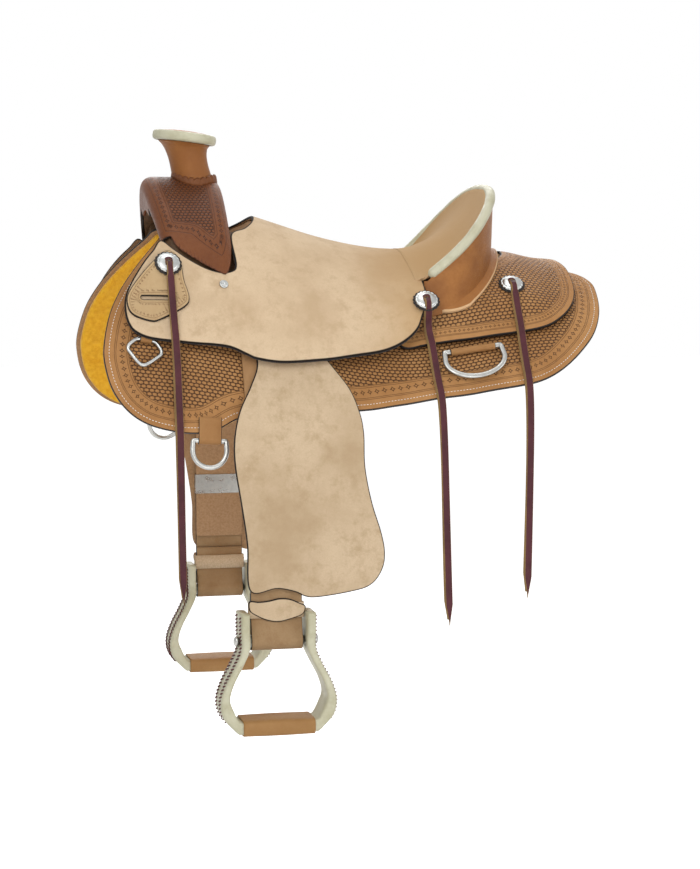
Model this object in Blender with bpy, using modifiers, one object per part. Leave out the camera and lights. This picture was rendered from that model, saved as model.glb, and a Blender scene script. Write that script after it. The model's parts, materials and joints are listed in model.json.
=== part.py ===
"""A wade roping saddle, built as separate leather, wood and metal pieces.

Metres. -X is the horn end, +X the cantle end, -Y the near side, +Z up. The origin is on the
spine line under the seat. Leather that lies on the horse is placed by x, by s, the distance
down the side from the spine line, and by lift, the height over the horse-side surface.
"""

import math

import bmesh
import bpy
from mathutils import Matrix, Vector

# Horse-side surface: height of the spine line, and how steeply the side falls, along x
SPINE_HEIGHT = ((-0.44, 0.120), (-0.34, 0.112), (-0.24, 0.094), (-0.14, 0.066), (-0.05, 0.038),
                (0.03, 0.022), (0.10, 0.020), (0.18, 0.027), (0.26, 0.029), (0.33, 0.024), (0.40, 0.012))
TOP_FALL = ((-0.44, 46.0), (-0.25, 44.0), (-0.10, 38.0), (0.05, 32.0), (0.20, 25.0), (0.36, 22.0))
LOW_FALL = ((-0.44, 72.0), (-0.20, 70.0), (0.0, 68.0), (0.20, 66.0), (0.36, 62.0))
SPINE_ROUNDING = 0.040
FALL_SPAN = 0.320
SECTION_STEP = 0.002
SECTION_STEPS = 240

# Sheet thicknesses and gaps
SKIRT = 0.0045
LINING = 0.0100
SEAT = 0.0045
JOCKEY = 0.0045
STRAP = 0.0035
GAP = 0.0003
LAYER_GAP = 0.0006
BAR_TOP = 0.0197
JOCKEY_LIFT = 0.0105
JOCKEY_OVER_BAR = 0.0104
SEAT_LIFT = 0.0335
SEAT_FILL = 0.016
GROUND_SEAT = 0.0100

# Fork, horn and cantle
FORK_FRONT, FORK_REAR = -0.3110, -0.2015
FORK_HALF_WIDTH, FORK_HEIGHT = 0.138, 0.159
GULLET_HALF_WIDTH, GULLET_HEIGHT = 0.086, 0.115
FORK_SHAPE = 1.5
COVER = 0.0040
COVER_GAP = 0.0005
COVER_FLARE = 0.011
HORN_TILT = math.radians(7.0)
HORN_CENTRE = (-0.248, 0.0, 0.2200)
HORN_RADIUS = 0.0465
HORN_RIM = 0.0140
HORN_BINDING_WIDTH = 0.0075
NECK_RADIUS = 0.0290
NECK_FOOT = (-0.232, 0.0, 0.142)
CANTLE_ENDS = (0.095, 0.149, -0.003)
CANTLE_TOP = (0.203, 0.146)
CANTLE_SHAPE = 2.5
BINDING_RADIUS = 0.0065
DISH_BASE_X, DISH_BASE_Z = 0.080, 0.0575
BACK_BASE_X, BACK_BASE_Z = 0.206, 0.0600

# Hanging leathers: the flat plane they swing in touches the skirt here, then bends to plumb
PLANE_X, PLANE_S, PLANE_LIFT = -0.130, 0.300, 0.0064
PIVOT_ABOVE = 0.1385
LEATHER_X = -0.160
LEATHER_WIDTH = 0.073
BEND_START, BEND_LENGTH = 0.170, 0.100
LEATHER_LENGTH = 0.392
FENDER = 0.0035
FENDER_STEP_START, FENDER_STEP_END = 0.130, 0.215
BUCKLE_WALL = 0.0013
LOOP_TOP = 0.292
LOOP_JOIN = 0.446
HOBBLE_TOP, HOBBLE_HEIGHT, HOBBLE_WALL = 0.421, 0.024, 0.0024
BOLT_DROP = 0.4765
SPOOL_RADIUS = 0.0088
BOLT_RADIUS = 0.0045
STIRRUP_EAR_WIDTH = LEATHER_WIDTH + 0.033
STIRRUP_WIDTH, TREAD_WIDTH = 0.165, 0.112
STIRRUP_DEPTH = 0.050
EAR_RISE = 0.040
STIRRUP_DROP = 0.128
STIRRUP_WALL, TREAD_WALL = 0.0125, 0.0170
WRAP = 0.0030

# Dees, conchos and strings
DEE_WIRE = 0.0035
BREAST_WIRE = 0.0026
TUNNEL_WALL = 0.0018
TUNNEL_PLAY = 0.0004
FRONT_DEE_LIFT = 0.0008
CONCHO_RADIUS, ROSETTE_RADIUS = 0.0168, 0.0200
STRING_WIDTH, STRING_THICK = 0.012, 0.005

COLOURS = {
    "leather": (0.50, 0.26, 0.12, 0.60, 0.0),
    "suede": (0.66, 0.45, 0.28, 0.92, 0.0),
    "natural": (0.58, 0.33, 0.16, 0.55, 0.0),
    "dark": (0.20, 0.075, 0.035, 0.55, 0.0),
    "lining": (0.80, 0.50, 0.08, 0.95, 0.0),
    "rawhide": (0.72, 0.68, 0.49, 0.50, 0.0),
    "burgundy": (0.12, 0.02, 0.025, 0.50, 0.0),
    "silver": (0.80, 0.80, 0.78, 0.28, 1.0),
    "steel": (0.55, 0.54, 0.50, 0.35, 1.0),
}


# The horse-side surface


def smooth(table, x):
    """Value of a table of (x, value) at x, on a smooth curve through its rows."""
    if x <= table[0][0]:
        return table[0][1]
    if x >= table[-1][0]:
        return table[-1][1]
    last = len(table) - 1
    i = max(k for k in range(last) if table[k][0] <= x)
    (x0, y0), (x1, y1) = table[i], table[i + 1]

    def slope(k):
        if k in (0, last):
            return 0.0
        return (table[k + 1][1] - table[k - 1][1]) / (table[k + 1][0] - table[k - 1][0])

    h = x1 - x0
    t = (x - x0) / h
    return (y0 * (1 + 2 * t) * (1 - t) ** 2 + slope(i) * h * t * (1 - t) ** 2
            + y1 * t * t * (3 - 2 * t) + slope(i + 1) * h * t * t * (t - 1))


def ramp(value, low, high):
    """0 below low, 1 above high, and a smooth rise between them."""
    t = min(max((value - low) / (high - low), 0.0), 1.0)
    return t * t * (3 - 2 * t)


def fall(x, s):
    """Angle below level of the side at x and s, in radians."""
    top, low = smooth(TOP_FALL, x), smooth(LOW_FALL, x)
    return math.radians(top * (1 - math.exp(-s / SPINE_ROUNDING)) + (low - top) * min(s / FALL_SPAN, 1.1))


SECTIONS = {}


def section(x):
    """Points (out, down) along the side at x, one every SECTION_STEP of s."""
    key = round(x, 6)
    if key not in SECTIONS:
        out, down = 0.0, 0.0
        points = [(out, down)]
        for i in range(SECTION_STEPS):
            a = fall(x, (i + 0.5) * SECTION_STEP)
            out += SECTION_STEP * math.cos(a)
            down += SECTION_STEP * math.sin(a)
            points.append((out, down))
        SECTIONS[key] = points
    return SECTIONS[key]


def on_side(x, s, lift=0.0):
    """Point on the near side at x, s below the spine line and lift over the surface."""
    height = lift(x, s) if callable(lift) else lift
    points = section(x)
    i = min(max(s / SECTION_STEP, 0.0), SECTION_STEPS - 0.001)
    k = int(i)
    f = i - k
    out = points[k][0] * (1 - f) + points[k + 1][0] * f
    down = points[k][1] * (1 - f) + points[k + 1][1] * f
    a = fall(x, s)
    return Vector((x, -(out + height * math.sin(a)), smooth(SPINE_HEIGHT, x) - down + height * math.cos(a)))


def outward(x, s, lift=0.0):
    """Outward normal of a layer at x and s."""
    step = 0.012
    along = on_side(x + step, s, lift) - on_side(x - step, s, lift)
    down = on_side(x, s + step, lift) - on_side(x, s - step, lift)
    return along.cross(-down).normalized()


def seat_edge_lift(x):
    """Height of the seat's underside at its lower edge."""
    return smooth(((-0.36, 0.0155), (-0.27, 0.0175), (-0.20, 0.0235), (-0.06, 0.0255), (0.02, 0.0175),
                   (0.10, 0.0165)), x)


def seat_lift(x, s):
    fill = SEAT_FILL * ramp(x, -0.03, 0.09) * math.exp(-((s - 0.125) / 0.05) ** 2)
    return SEAT_LIFT + fill - (SEAT_LIFT - seat_edge_lift(x)) * ramp(s, 0.15, 0.25)


def on_seat(extra):
    """Lift of something that lies on the seat leather, this far over it."""
    return lambda x, s: seat_lift(x, s) + SEAT + extra


def jockey_lift(x, s):
    over_bar = ramp(-s, -0.185, -0.13) * ramp(-x, -0.29, -0.22)
    return JOCKEY_LIFT + JOCKEY_OVER_BAR * over_bar


def on_jockey(x, s):
    """Lift of what lies on the rear jockeys."""
    return jockey_lift(x, s) + JOCKEY + 0.0009


def under_cantle(x, s):
    """Lift at which the cantle is cut off over the rear jockeys."""
    return on_jockey(x, s) + 0.0006


# Meshes and objects


def clear_scene():
    for obj in list(bpy.data.objects):
        bpy.data.objects.remove(obj, do_unlink=True)


def new_collection(name):
    collection = bpy.data.collections.new(name)
    bpy.context.scene.collection.children.link(collection)
    return collection


def finish(name, look):
    """The piece's own material."""
    red, green, blue, roughness, metallic = COLOURS[look]
    material = bpy.data.materials.new(name + "_finish")
    material.use_nodes = True
    shader = material.node_tree.nodes["Principled BSDF"]
    shader.inputs["Base Color"].default_value = (red, green, blue, 1.0)
    shader.inputs["Roughness"].default_value = roughness
    shader.inputs["Metallic"].default_value = metallic
    material.diffuse_color = (red, green, blue, 1.0)
    return material


def add(name, mesh, look, origin=(0.0, 0.0, 0.0)):
    """A piece of the saddle from a mesh in world coordinates, with its origin where it turns."""
    mesh.transform(Matrix.Translation(-Vector(origin)))
    obj = bpy.data.objects.new(name, mesh)
    obj.location = origin
    mesh.materials.clear()
    mesh.materials.append(finish(name, look))
    SADDLE.objects.link(obj)
    return obj


def mirrored(mesh):
    """A copy of the mesh on the other side of the saddle."""
    copy = mesh.copy()
    copy.transform(Matrix.Diagonal((1.0, -1.0, 1.0, 1.0)))
    copy.flip_normals()
    return copy


def pair(name, mesh, look, origin=(0.0, 0.0, 0.0)):
    """The near and the off piece of a pair, from the near one's mesh."""
    off_mesh = mirrored(mesh)
    off_origin = (origin[0], -origin[1], origin[2])
    return add(name + "_near", mesh, look, origin), add(name + "_off", off_mesh, look, off_origin)


def to_mesh(bm, name):
    mesh = bpy.data.meshes.new(name)
    bm.to_mesh(mesh)
    bm.free()
    return mesh


def thicken(obj, thickness, offset=1.0):
    shell = obj.modifiers.new("thickness", "SOLIDIFY")
    shell.thickness = thickness
    shell.offset = offset
    shell.use_even_offset = False


def cut(obj, cutter):
    boolean = obj.modifiers.new("cut", "BOOLEAN")
    boolean.operation = "DIFFERENCE"
    boolean.solver = "EXACT"
    boolean.object = cutter


def new_cutter(name, mesh):
    obj = bpy.data.objects.new(name, mesh)
    obj.hide_render = True
    obj.display_type = "WIRE"
    CUTTERS.objects.link(obj)
    return obj


def rounded(points, steps=3, closed=True):
    """Points on a smooth curve through the given ones, with steps points for each span."""
    count = len(points)
    spans = count if closed else count - 1
    out = []
    for i in range(spans):
        if closed:
            p0, p1, p2, p3 = (Vector(points[(i + k) % count]) for k in (-1, 0, 1, 2))
        else:
            p0, p1, p2, p3 = (Vector(points[min(max(i + k, 0), count - 1)]) for k in (-1, 0, 1, 2))
        for j in range(steps):
            t = j / steps
            out.append(0.5 * (2 * p1 + (p2 - p0) * t + (2 * p0 - 5 * p1 + 4 * p2 - p3) * t * t
                              + (3 * p1 - p0 - 3 * p2 + p3) * t ** 3))
    if not closed:
        out.append(Vector(points[-1]))
    return out


CUT_X = [round(-0.40 + 0.04 * i, 3) for i in range(21)]
CUT_S = [0.012, 0.026, 0.042, 0.060, 0.080, 0.105] + [round(0.135 + 0.035 * i, 3) for i in range(8)]


def flat_sheet(outline, cuts_x, cuts_s):
    """A flat face with this outline, cut along the given lines and triangulated."""
    bm = bmesh.new()
    bm.faces.new([bm.verts.new((p[0], p[1], 0.0)) for p in outline])
    for axis, cuts in ((0, cuts_x), (1, cuts_s)):
        for value in cuts:
            place = Vector((0.0, 0.0, 0.0))
            normal = Vector((0.0, 0.0, 0.0))
            place[axis] = value
            normal[axis] = 1.0
            bmesh.ops.bisect_plane(bm, geom=bm.verts[:] + bm.edges[:] + bm.faces[:], dist=1e-5,
                                   plane_co=place, plane_no=normal)
    bmesh.ops.triangulate(bm, faces=bm.faces[:])
    return bm


def face_outward(bm, direction):
    """Turns the open sheet's faces to look along direction(point)."""
    bm.normal_update()
    if sum(f.normal.dot(direction(f.calc_center_median())) for f in bm.faces) < 0:
        bmesh.ops.reverse_faces(bm, faces=bm.faces[:])


def side_sheet(name, outline, lift):
    """An open sheet on the near side with this outline of (x, s)."""
    bm = flat_sheet(outline, CUT_X, CUT_S)
    for vert in bm.verts:
        vert.co = on_side(vert.co.x, vert.co.y, lift)
    face_outward(bm, lambda p: Vector((0.0, -0.5, 0.8)))
    return to_mesh(bm, name)


def loft(name, rings, closed_rings=True, caps=True):
    """A skin over rings of points that all have the same count."""
    bm = bmesh.new()
    rows = [[bm.verts.new(p) for p in ring] for ring in rings]
    count = len(rows[0])
    for a, b in zip(rows, rows[1:]):
        for i in range(count if closed_rings else count - 1):
            j = (i + 1) % count
            bm.faces.new((a[i], a[j], b[j], b[i]))
    if caps:
        bm.faces.new(rows[0][::-1])
        bm.faces.new(rows[-1])
    if closed_rings:
        bmesh.ops.triangulate(bm, faces=bm.faces[:])
        bmesh.ops.recalc_face_normals(bm, faces=bm.faces[:])
    return to_mesh(bm, name)


def prism(name, outline, place, depth):
    """A flat outline of (a, b) swept to a depth: place(a, b, c) gives the world point."""
    return loft(name, [[place(a, b, c) for a, b in outline] for c in (-depth / 2, depth / 2)])


def curve_mesh(name, points, radius, cyclic=False, resolution=2):
    """A round bar along the points, as a closed mesh."""
    data = bpy.data.curves.new(name, "CURVE")
    data.dimensions = "3D"
    data.bevel_depth = radius
    data.bevel_resolution = resolution
    data.use_fill_caps = True
    spline = data.splines.new("POLY")
    spline.points.add(len(points) - 1)
    for point, place in zip(spline.points, points):
        point.co = (*place, 1.0)
    spline.use_cyclic_u = cyclic
    guide = bpy.data.objects.new(name + "_curve", data)
    CUTTERS.objects.link(guide)
    bpy.context.view_layer.update()
    mesh = bpy.data.meshes.new_from_object(guide.evaluated_get(bpy.context.evaluated_depsgraph_get()))
    bpy.data.objects.remove(guide, do_unlink=True)
    bm = bmesh.new()
    bm.from_mesh(mesh)
    bmesh.ops.remove_doubles(bm, verts=bm.verts[:], dist=1e-6)
    bm.to_mesh(mesh)
    bm.free()
    return mesh


def turned(name, profile, steps, frame):
    """A turned solid: (radius, height) from the top of its axis down its outside to the foot."""
    bm = bmesh.new()
    verts = [bm.verts.new((r, 0.0, h)) for r, h in profile]
    edges = [bm.edges.new(ab) for ab in zip(verts, verts[1:])]
    bmesh.ops.spin(bm, geom=verts + edges, cent=(0, 0, 0), axis=(0, 0, 1), dvec=(0, 0, 0),
                   angle=math.tau, steps=steps, use_merge=True)
    bmesh.ops.remove_doubles(bm, verts=bm.verts[:], dist=1e-6)
    bmesh.ops.recalc_face_normals(bm, faces=bm.faces[:])
    mesh = to_mesh(bm, name)
    mesh.transform(frame)
    return mesh


def frame_of(origin, along, out):
    """Matrix with X along, Z out and Y down the slope."""
    z = out.normalized()
    x = (along - along.dot(z) * z).normalized()
    y = z.cross(x)
    matrix = Matrix((x, y, z)).transposed().to_4x4()
    matrix.translation = origin
    return matrix


# Skirts, linings and jockeys

SKIRT_EDGE = ((-0.300, 0.079), (-0.340, 0.139), (-0.362, 0.176), (-0.379, 0.215), (-0.389, 0.260),
              (-0.389, 0.289), (-0.380, 0.324), (-0.360, 0.352), (-0.331, 0.369), (-0.290, 0.375),
              (-0.255, 0.371), (-0.233, 0.361), (-0.204, 0.341), (-0.162, 0.326), (-0.076, 0.303),
              (-0.017, 0.289), (0.027, 0.278), (0.085, 0.270), (0.143, 0.272), (0.201, 0.272),
              (0.238, 0.267), (0.270, 0.251), (0.301, 0.223), (0.329, 0.186), (0.347, 0.142),
              (0.356, 0.095), (0.356, 0.060), (0.335, 0.038))
SKIRT_CHANNEL = ((0.280, 0.030), (0.150, 0.028), (0.0, 0.028), (-0.150, 0.028), (-0.250, 0.034), (-0.285, 0.052))
LINING_INSET = 0.0060
LINING_CENTRE = (-0.02, 0.20)


def build_skirts():
    outline = [Vector(p) for p in SKIRT_EDGE + SKIRT_CHANNEL]
    for obj in pair("skirt", side_sheet("skirt", outline, 0.0), "leather"):
        thicken(obj, SKIRT)
    centre = Vector(LINING_CENTRE)
    inner = [p + (centre - p).normalized() * LINING_INSET for p in outline]
    for obj in pair("lining", side_sheet("lining", inner, -LAYER_GAP), "lining"):
        thicken(obj, LINING, -1.0)


JOCKEY_EDGE = ((0.233, 0.0030), (0.275, 0.0015), (0.311, 0.0015), (0.316, 0.018), (0.320, 0.045), (0.319, 0.082),
               (0.313, 0.118), (0.301, 0.145), (0.281, 0.168), (0.254, 0.184), (0.213, 0.190), (0.154, 0.190),
               (0.110, 0.187), (0.073, 0.189), (0.048, 0.193), (0.036, 0.186), (0.034, 0.165), (0.038, 0.120),
               (0.060, 0.100), (0.120, 0.080), (0.190, 0.055), (0.222, 0.030))


def build_jockeys():
    for obj in pair("rear_jockey", side_sheet("rear_jockey", JOCKEY_EDGE, jockey_lift), "leather"):
        thicken(obj, JOCKEY)


def reflect(obj):
    """Mirrors a half that is open at the middle plane."""
    mirror = obj.modifiers.new("halves", "MIRROR")
    mirror.use_axis = (False, True, False)
    mirror.use_mirror_merge = True
    mirror.merge_threshold = 0.0001


# Tree: bars, fork and cantle

BAR_EDGE = ((-0.290, 0.062), (-0.272, 0.046), (-0.150, 0.042), (0.0, 0.042), (0.120, 0.046), (0.200, 0.056),
            (0.214, 0.078), (0.207, 0.108), (0.180, 0.122), (0.100, 0.125), (0.030, 0.132), (-0.040, 0.152),
            (-0.085, 0.172), (-0.225, 0.172), (-0.262, 0.152), (-0.286, 0.125), (-0.295, 0.092))


def build_bars():
    bars = pair("tree_bar", side_sheet("tree_bar", BAR_EDGE, SKIRT + LAYER_GAP), "rawhide")
    notch = leather_block("bar_notch")
    for bar, cutter_mesh in zip(bars, (notch, mirrored(notch))):
        thicken(bar, BAR_TOP - SKIRT - LAYER_GAP)
        cut(bar, new_cutter(bar.name + "_notch", cutter_mesh))


def arch_point(turn, out):
    """Outer and gullet points of the arch at a turn, the way between them and the cover's flare."""
    c, s = -math.cos(turn), math.sin(turn)
    power = 2 / FORK_SHAPE
    flare = COVER_FLARE * (1 - s) ** 2 * min(max(out / COVER_GAP, 0.0), 1.0)
    outer = Vector((math.copysign(abs(c) ** power, c) * FORK_HALF_WIDTH, s ** power * FORK_HEIGHT))
    inner = Vector((c * GULLET_HALF_WIDTH, s * GULLET_HEIGHT))
    away = (outer - inner).normalized()
    return outer, inner, away, flare


def fork_line(turn, grow, rounding=0.016, corner_steps=3):
    """(x, out from the gullet) over the fork's front, top and back at one turn of the arch."""
    outer, inner, away, flare = arch_point(turn, grow)
    height = (outer - inner).length + grow + flare
    front, rear = FORK_FRONT - grow, FORK_REAR + grow
    radius = rounding + grow
    line = [(front, 0.0)]
    for i in range(corner_steps + 1):
        a = math.pi / 2 * i / corner_steps
        line.append((front + radius * (1 - math.cos(a)), height - radius * (1 - math.sin(a))))
    for i in range(corner_steps + 1):
        a = math.pi / 2 * (1 - i / corner_steps)
        line.append((rear - radius * (1 - math.cos(a)), height - radius * (1 - math.sin(a))))
    line.append((rear, 0.0))
    return line


def fork_place(turn, x, height):
    """World point of (x, out from the gullet) at a turn of the arch; the front face leans."""
    outer, inner, away, _ = arch_point(turn, 0.0)
    y, z = inner + away * height
    lean = (FORK_HEIGHT - z) * 0.20 * ramp(-x, -FORK_REAR, -FORK_FRONT)
    return Vector((x + lean, y, z))


FORK_TURNS = [math.pi * (0.015 + 0.97 * i / 16) for i in range(17)]


def fork_solid(name, grow, inner=None):
    """The fork grown by a distance, or the shell between two such growths."""
    rings = []
    for turn in FORK_TURNS:
        line = fork_line(turn, grow)
        if inner is not None:
            line = line + fork_line(turn, inner)[::-1]
        rings.append([fork_place(turn, x, height) for x, height in line])
    return loft(name, rings)


def envelope_cut(obj, name, s0, top):
    """Cuts a piece where it would enter the layers up to top, on both sides."""
    low = -0.030
    outline = [(-0.40, s0), (0.30, s0), (0.30, 0.300), (-0.40, 0.300)]
    grid = flat_sheet(outline, CUT_X, CUT_S)
    mesh = to_mesh(grid, name)
    bm = bmesh.new()
    bm.from_mesh(mesh)
    upper = {v: v.co.copy() for v in bm.verts}
    copied = bmesh.ops.duplicate(bm, geom=bm.verts[:] + bm.edges[:] + bm.faces[:])
    lower = [g for g in copied["geom"] if isinstance(g, bmesh.types.BMVert)]
    for vert in lower:
        vert.co = on_side(vert.co.x, vert.co.y, low)
    for vert, flat in upper.items():
        vert.co = on_side(flat.x, flat.y, top)
    rims = [e for e in bm.edges if e.is_boundary]
    bmesh.ops.bridge_loops(bm, edges=rims)
    bmesh.ops.recalc_face_normals(bm, faces=bm.faces[:])
    near = to_mesh(bm, name)
    cut(obj, new_cutter(name + "_near", near))
    cut(obj, new_cutter(name + "_off", mirrored(near)))


def build_fork():
    fork = add("tree_fork", fork_solid("tree_fork", 0.0), "rawhide")
    envelope_cut(fork, "bars_under_fork", 0.030, BAR_TOP + LAYER_GAP)
    cover = add("fork_cover", fork_solid("fork_cover", COVER_GAP + COVER, COVER_GAP), "dark")
    envelope_cut(cover, "bars_under_cover", 0.030, BAR_TOP + LAYER_GAP)
    envelope_cut(cover, "seat_under_cover", SEAT_UNDER_COVER, on_seat(0.0009))


# Horn


def horn_frame():
    turn = Matrix.Rotation(HORN_TILT, 4, "Y")
    return Matrix.Translation(HORN_CENTRE) @ turn


def build_horn():
    top = HORN_RIM / 2
    inner = HORN_RADIUS - HORN_BINDING_WIDTH - GAP
    frame = horn_frame()
    cap = [(0.0, top + 0.0025), (0.020, top + 0.0025), (inner - 0.004, top), (inner, top - 0.002),
           (inner, -top + 0.002), (inner - 0.002, -top), (0.0, -top)]
    add("horn_cap", turned("horn_cap", cap, 28, frame), "natural")
    ring = [(HORN_RADIUS - HORN_BINDING_WIDTH, top), (HORN_RADIUS - 0.003, top), (HORN_RADIUS - 0.0006, top - 0.003),
            (HORN_RADIUS, 0.0), (HORN_RADIUS - 0.0006, -top + 0.003), (HORN_RADIUS - 0.003, -top),
            (HORN_RADIUS - HORN_BINDING_WIDTH, -top), (HORN_RADIUS - HORN_BINDING_WIDTH, top)]
    add("horn_binding", turned("horn_binding", ring, 28, frame), "rawhide")
    # The wrapped neck stands on the fork and flares forward to the cap
    under = frame @ Matrix.Translation((0.0, 0.0, -top - GAP))
    foot = Matrix.Translation(NECK_FOOT)
    stations = ((0.0, 1.04), (0.36, 1.00), (0.60, 0.98), (0.80, 1.04), (0.93, 1.16), (1.0, 1.30))
    rings = []
    for share, widen in stations:
        ring = []
        for i in range(24):
            a = math.tau * i / 24
            flat = Vector((math.cos(a), math.sin(a), 0.0)) * NECK_RADIUS * widen
            ring.append((foot @ flat).lerp(under @ flat, share))
        rings.append(ring)
    wrap = add("horn_wrap", loft("horn_wrap", rings), "natural")
    cut(wrap, new_cutter("fork_under_horn", fork_solid("fork_under_horn", COVER_GAP + COVER + LAYER_GAP)))


# Seat

SEAT_UNDER_COVER = 0.098
SEAT_EDGE = ((-0.301, 0.106), (-0.314, 0.124), (-0.328, 0.143), (-0.348, 0.175), (-0.357, 0.194),
             (-0.359, 0.212), (-0.355, 0.231), (-0.345, 0.243), (-0.322, 0.250), (-0.271, 0.250), (-0.230, 0.248),
             (-0.211, 0.249), (-0.191, 0.255), (-0.176, 0.258), (-0.138, 0.255), (-0.085, 0.239), (-0.031, 0.220),
             (0.012, 0.206), (0.041, 0.192), (0.060, 0.177), (0.069, 0.160), (0.076, 0.146))
SEAT_REAR = ((0.079, 0.120), (0.078, 0.080), (0.077, 0.040), (0.076, 0.0))
SEAT_FRONT = ((-0.150, 0.0), (-0.156, 0.026), (-0.172, 0.050), (-0.1960, 0.072), (-0.1960, 0.122),
              (-0.203, 0.135), (-0.220, 0.141), (-0.240, 0.139), (-0.262, 0.130), (-0.282, 0.118))


def build_seat():
    outline = [Vector(p) for p in SEAT_EDGE + SEAT_REAR + SEAT_FRONT]
    seat = add("seat_leather", side_sheet("seat_leather", outline, seat_lift), "suede")
    reflect(seat)
    thicken(seat, SEAT)
    under = BAR_TOP + 0.0009
    ground = ((-0.150, 0.0), (-0.158, 0.026), (-0.174, 0.050), (-0.1940, 0.070), (-0.1940, 0.108), (-0.100, 0.110),
              (0.040, 0.110), (0.066, 0.090), (0.066, 0.0))
    mesh = side_sheet("ground_seat", ground, lambda x, s: seat_lift(x, s) - SEAT_LIFT + under)
    plate = add("ground_seat", mesh, "leather")
    reflect(plate)
    thicken(plate, GROUND_SEAT)


# Cantle


def cantle_ring(turn):
    """Centre line of the roll on the cantle's rim; turn 0 is the near end."""
    x0, half, z0 = CANTLE_ENDS
    x1, z1 = CANTLE_TOP
    c, s = -math.cos(turn), math.sin(turn)
    power = 2 / CANTLE_SHAPE
    y = math.copysign(abs(c) ** power, c) * half
    rise = abs(s) ** power
    return Vector((x0 + (x1 - x0) * rise, y, z0 + (z1 - z0) * rise))


def dish_base(turn):
    """Front foot of the cantle's dish, where the seat ends."""
    x0, half, z0 = CANTLE_ENDS
    share = math.sin(turn)
    y = -math.cos(turn) * (half - 0.004)
    return Vector((DISH_BASE_X + (x0 - DISH_BASE_X) * (1 - share) ** 2, y,
                   z0 + (DISH_BASE_Z - z0) * share ** 0.85))


def back_base(turn):
    """Rear foot of the cantle, on the rear jockeys."""
    x0, half, z0 = CANTLE_ENDS
    share = math.sin(turn)
    y = -math.cos(turn) * (half + 0.002)
    return Vector((x0 + (BACK_BASE_X - x0) * share ** 0.8, y, z0 + (BACK_BASE_Z - z0) * share ** 1.3))


CANTLE_TURNS = [math.pi * (0.045 + 0.91 * i / 20) for i in range(21)]
DISH_SHARES = (-0.03, 0.12, 0.28, 0.46, 0.64, 0.82, 1.0)
BACK_SHARES = (-0.06, 0.22, 0.5, 0.75, 1.0, 1.5)
DISH_SAG = 0.022


def dish_point(turn, share):
    ring, base = cantle_ring(turn), dish_base(turn)
    start = ring + (base - ring).normalized() * (BINDING_RADIUS + GAP)
    p = start.lerp(base, share)
    sag = DISH_SAG * math.sin(turn) * math.sin(math.pi * max(share, 0.0)) ** 1.2
    return p + Vector((0.35, 0.0, -1.0)).normalized() * sag


def back_point(turn, share):
    ring, base = cantle_ring(turn), back_base(turn)
    start = ring + (base - ring).normalized() * (BINDING_RADIUS + GAP)
    return start.lerp(base, share)


def open_loft(name, rows, direction):
    bm = bmesh.new()
    grid = [[bm.verts.new(p) for p in row] for row in rows]
    for a, b in zip(grid, grid[1:]):
        for i in range(len(a) - 1):
            bm.faces.new((a[i], a[i + 1], b[i + 1], b[i]))
    face_outward(bm, direction)
    return to_mesh(bm, name)


FACING = 0.0035
CANTLE_BACK = 0.0040


def build_cantle():
    ring = [cantle_ring(math.pi * (0.012 + 0.976 * i / 30)) for i in range(31)]
    add("cantle_binding", curve_mesh("cantle_binding", ring, BINDING_RADIUS), "rawhide")
    groove = new_cutter("binding_groove", curve_mesh("binding_groove", ring, BINDING_RADIUS + GAP))
    rows = [[dish_point(turn, share) for share in DISH_SHARES] for turn in CANTLE_TURNS]
    facing = add("cantle_facing", open_loft("cantle_facing", rows, lambda p: Vector((-0.6, 0.0, 0.8))), "suede")
    thicken(facing, FACING)
    cut(facing, groove)
    rows = [[back_point(turn, share) for share in BACK_SHARES] for turn in CANTLE_TURNS]
    back = add("cantle_back", open_loft("cantle_back", rows, lambda p: Vector((0.9, 0.0, -0.2))), "natural")
    thicken(back, CANTLE_BACK)
    cut(back, groove)
    envelope_cut(back, "jockeys_under_back", 0.0, under_cantle)
    # The wooden cantle fills the wedge between the facing and the back, over the bars
    rings = []
    for turn in CANTLE_TURNS[2:-2]:
        front = [dish_point(turn, share) + Vector((0.0010, 0.0, -0.0012)) for share in (0.06, 0.28, 0.46, 0.64, 0.82)]
        rear = [back_point(turn, share) + Vector((-0.0012, 0.0, -0.0005)) for share in (1.5, 1.0, 0.5, 0.10)]
        rings.append(front + rear)
    tree = add("tree_cantle", loft("tree_cantle", rings), "rawhide")
    cut(tree, groove)
    envelope_cut(tree, "jockeys_under_cantle", 0.0, under_cantle)


# Hanging leathers


def plane_frame():
    """Pivot, downward and outward directions of the plane that the leathers swing in."""
    touch = on_side(PLANE_X, PLANE_S, PLANE_LIFT)
    a = fall(PLANE_X, PLANE_S)
    down = Vector((0.0, -math.cos(a), -math.sin(a)))
    out = Vector((0.0, -math.sin(a), math.cos(a)))
    pivot = touch - down * PIVOT_ABOVE
    pivot.x = LEATHER_X
    return pivot, down, out


def hang(x, v, w):
    """Point of the leathers: x, length v down from the pivot, w outward from the inner face."""
    pivot, down, out = PLANE
    lean = math.pi / 2 - fall(PLANE_X, PLANE_S)
    p = pivot + down * min(v, BEND_START)
    turned_by = 0.0
    past = v - BEND_START
    if past > 0:
        bend = min(past, BEND_LENGTH)
        steps = 12
        for i in range(steps):
            a = lean * (i + 0.5) / steps * bend / BEND_LENGTH
            p = p + (down * math.cos(a) - out * math.sin(a)) * (bend / steps)
        turned_by = lean * bend / BEND_LENGTH
        p = p + (down * math.cos(turned_by) - out * math.sin(turned_by)) * (past - bend)
    normal = down * math.sin(turned_by) + out * math.cos(turned_by)
    p = p + normal * w
    p.x = x
    return p


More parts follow.
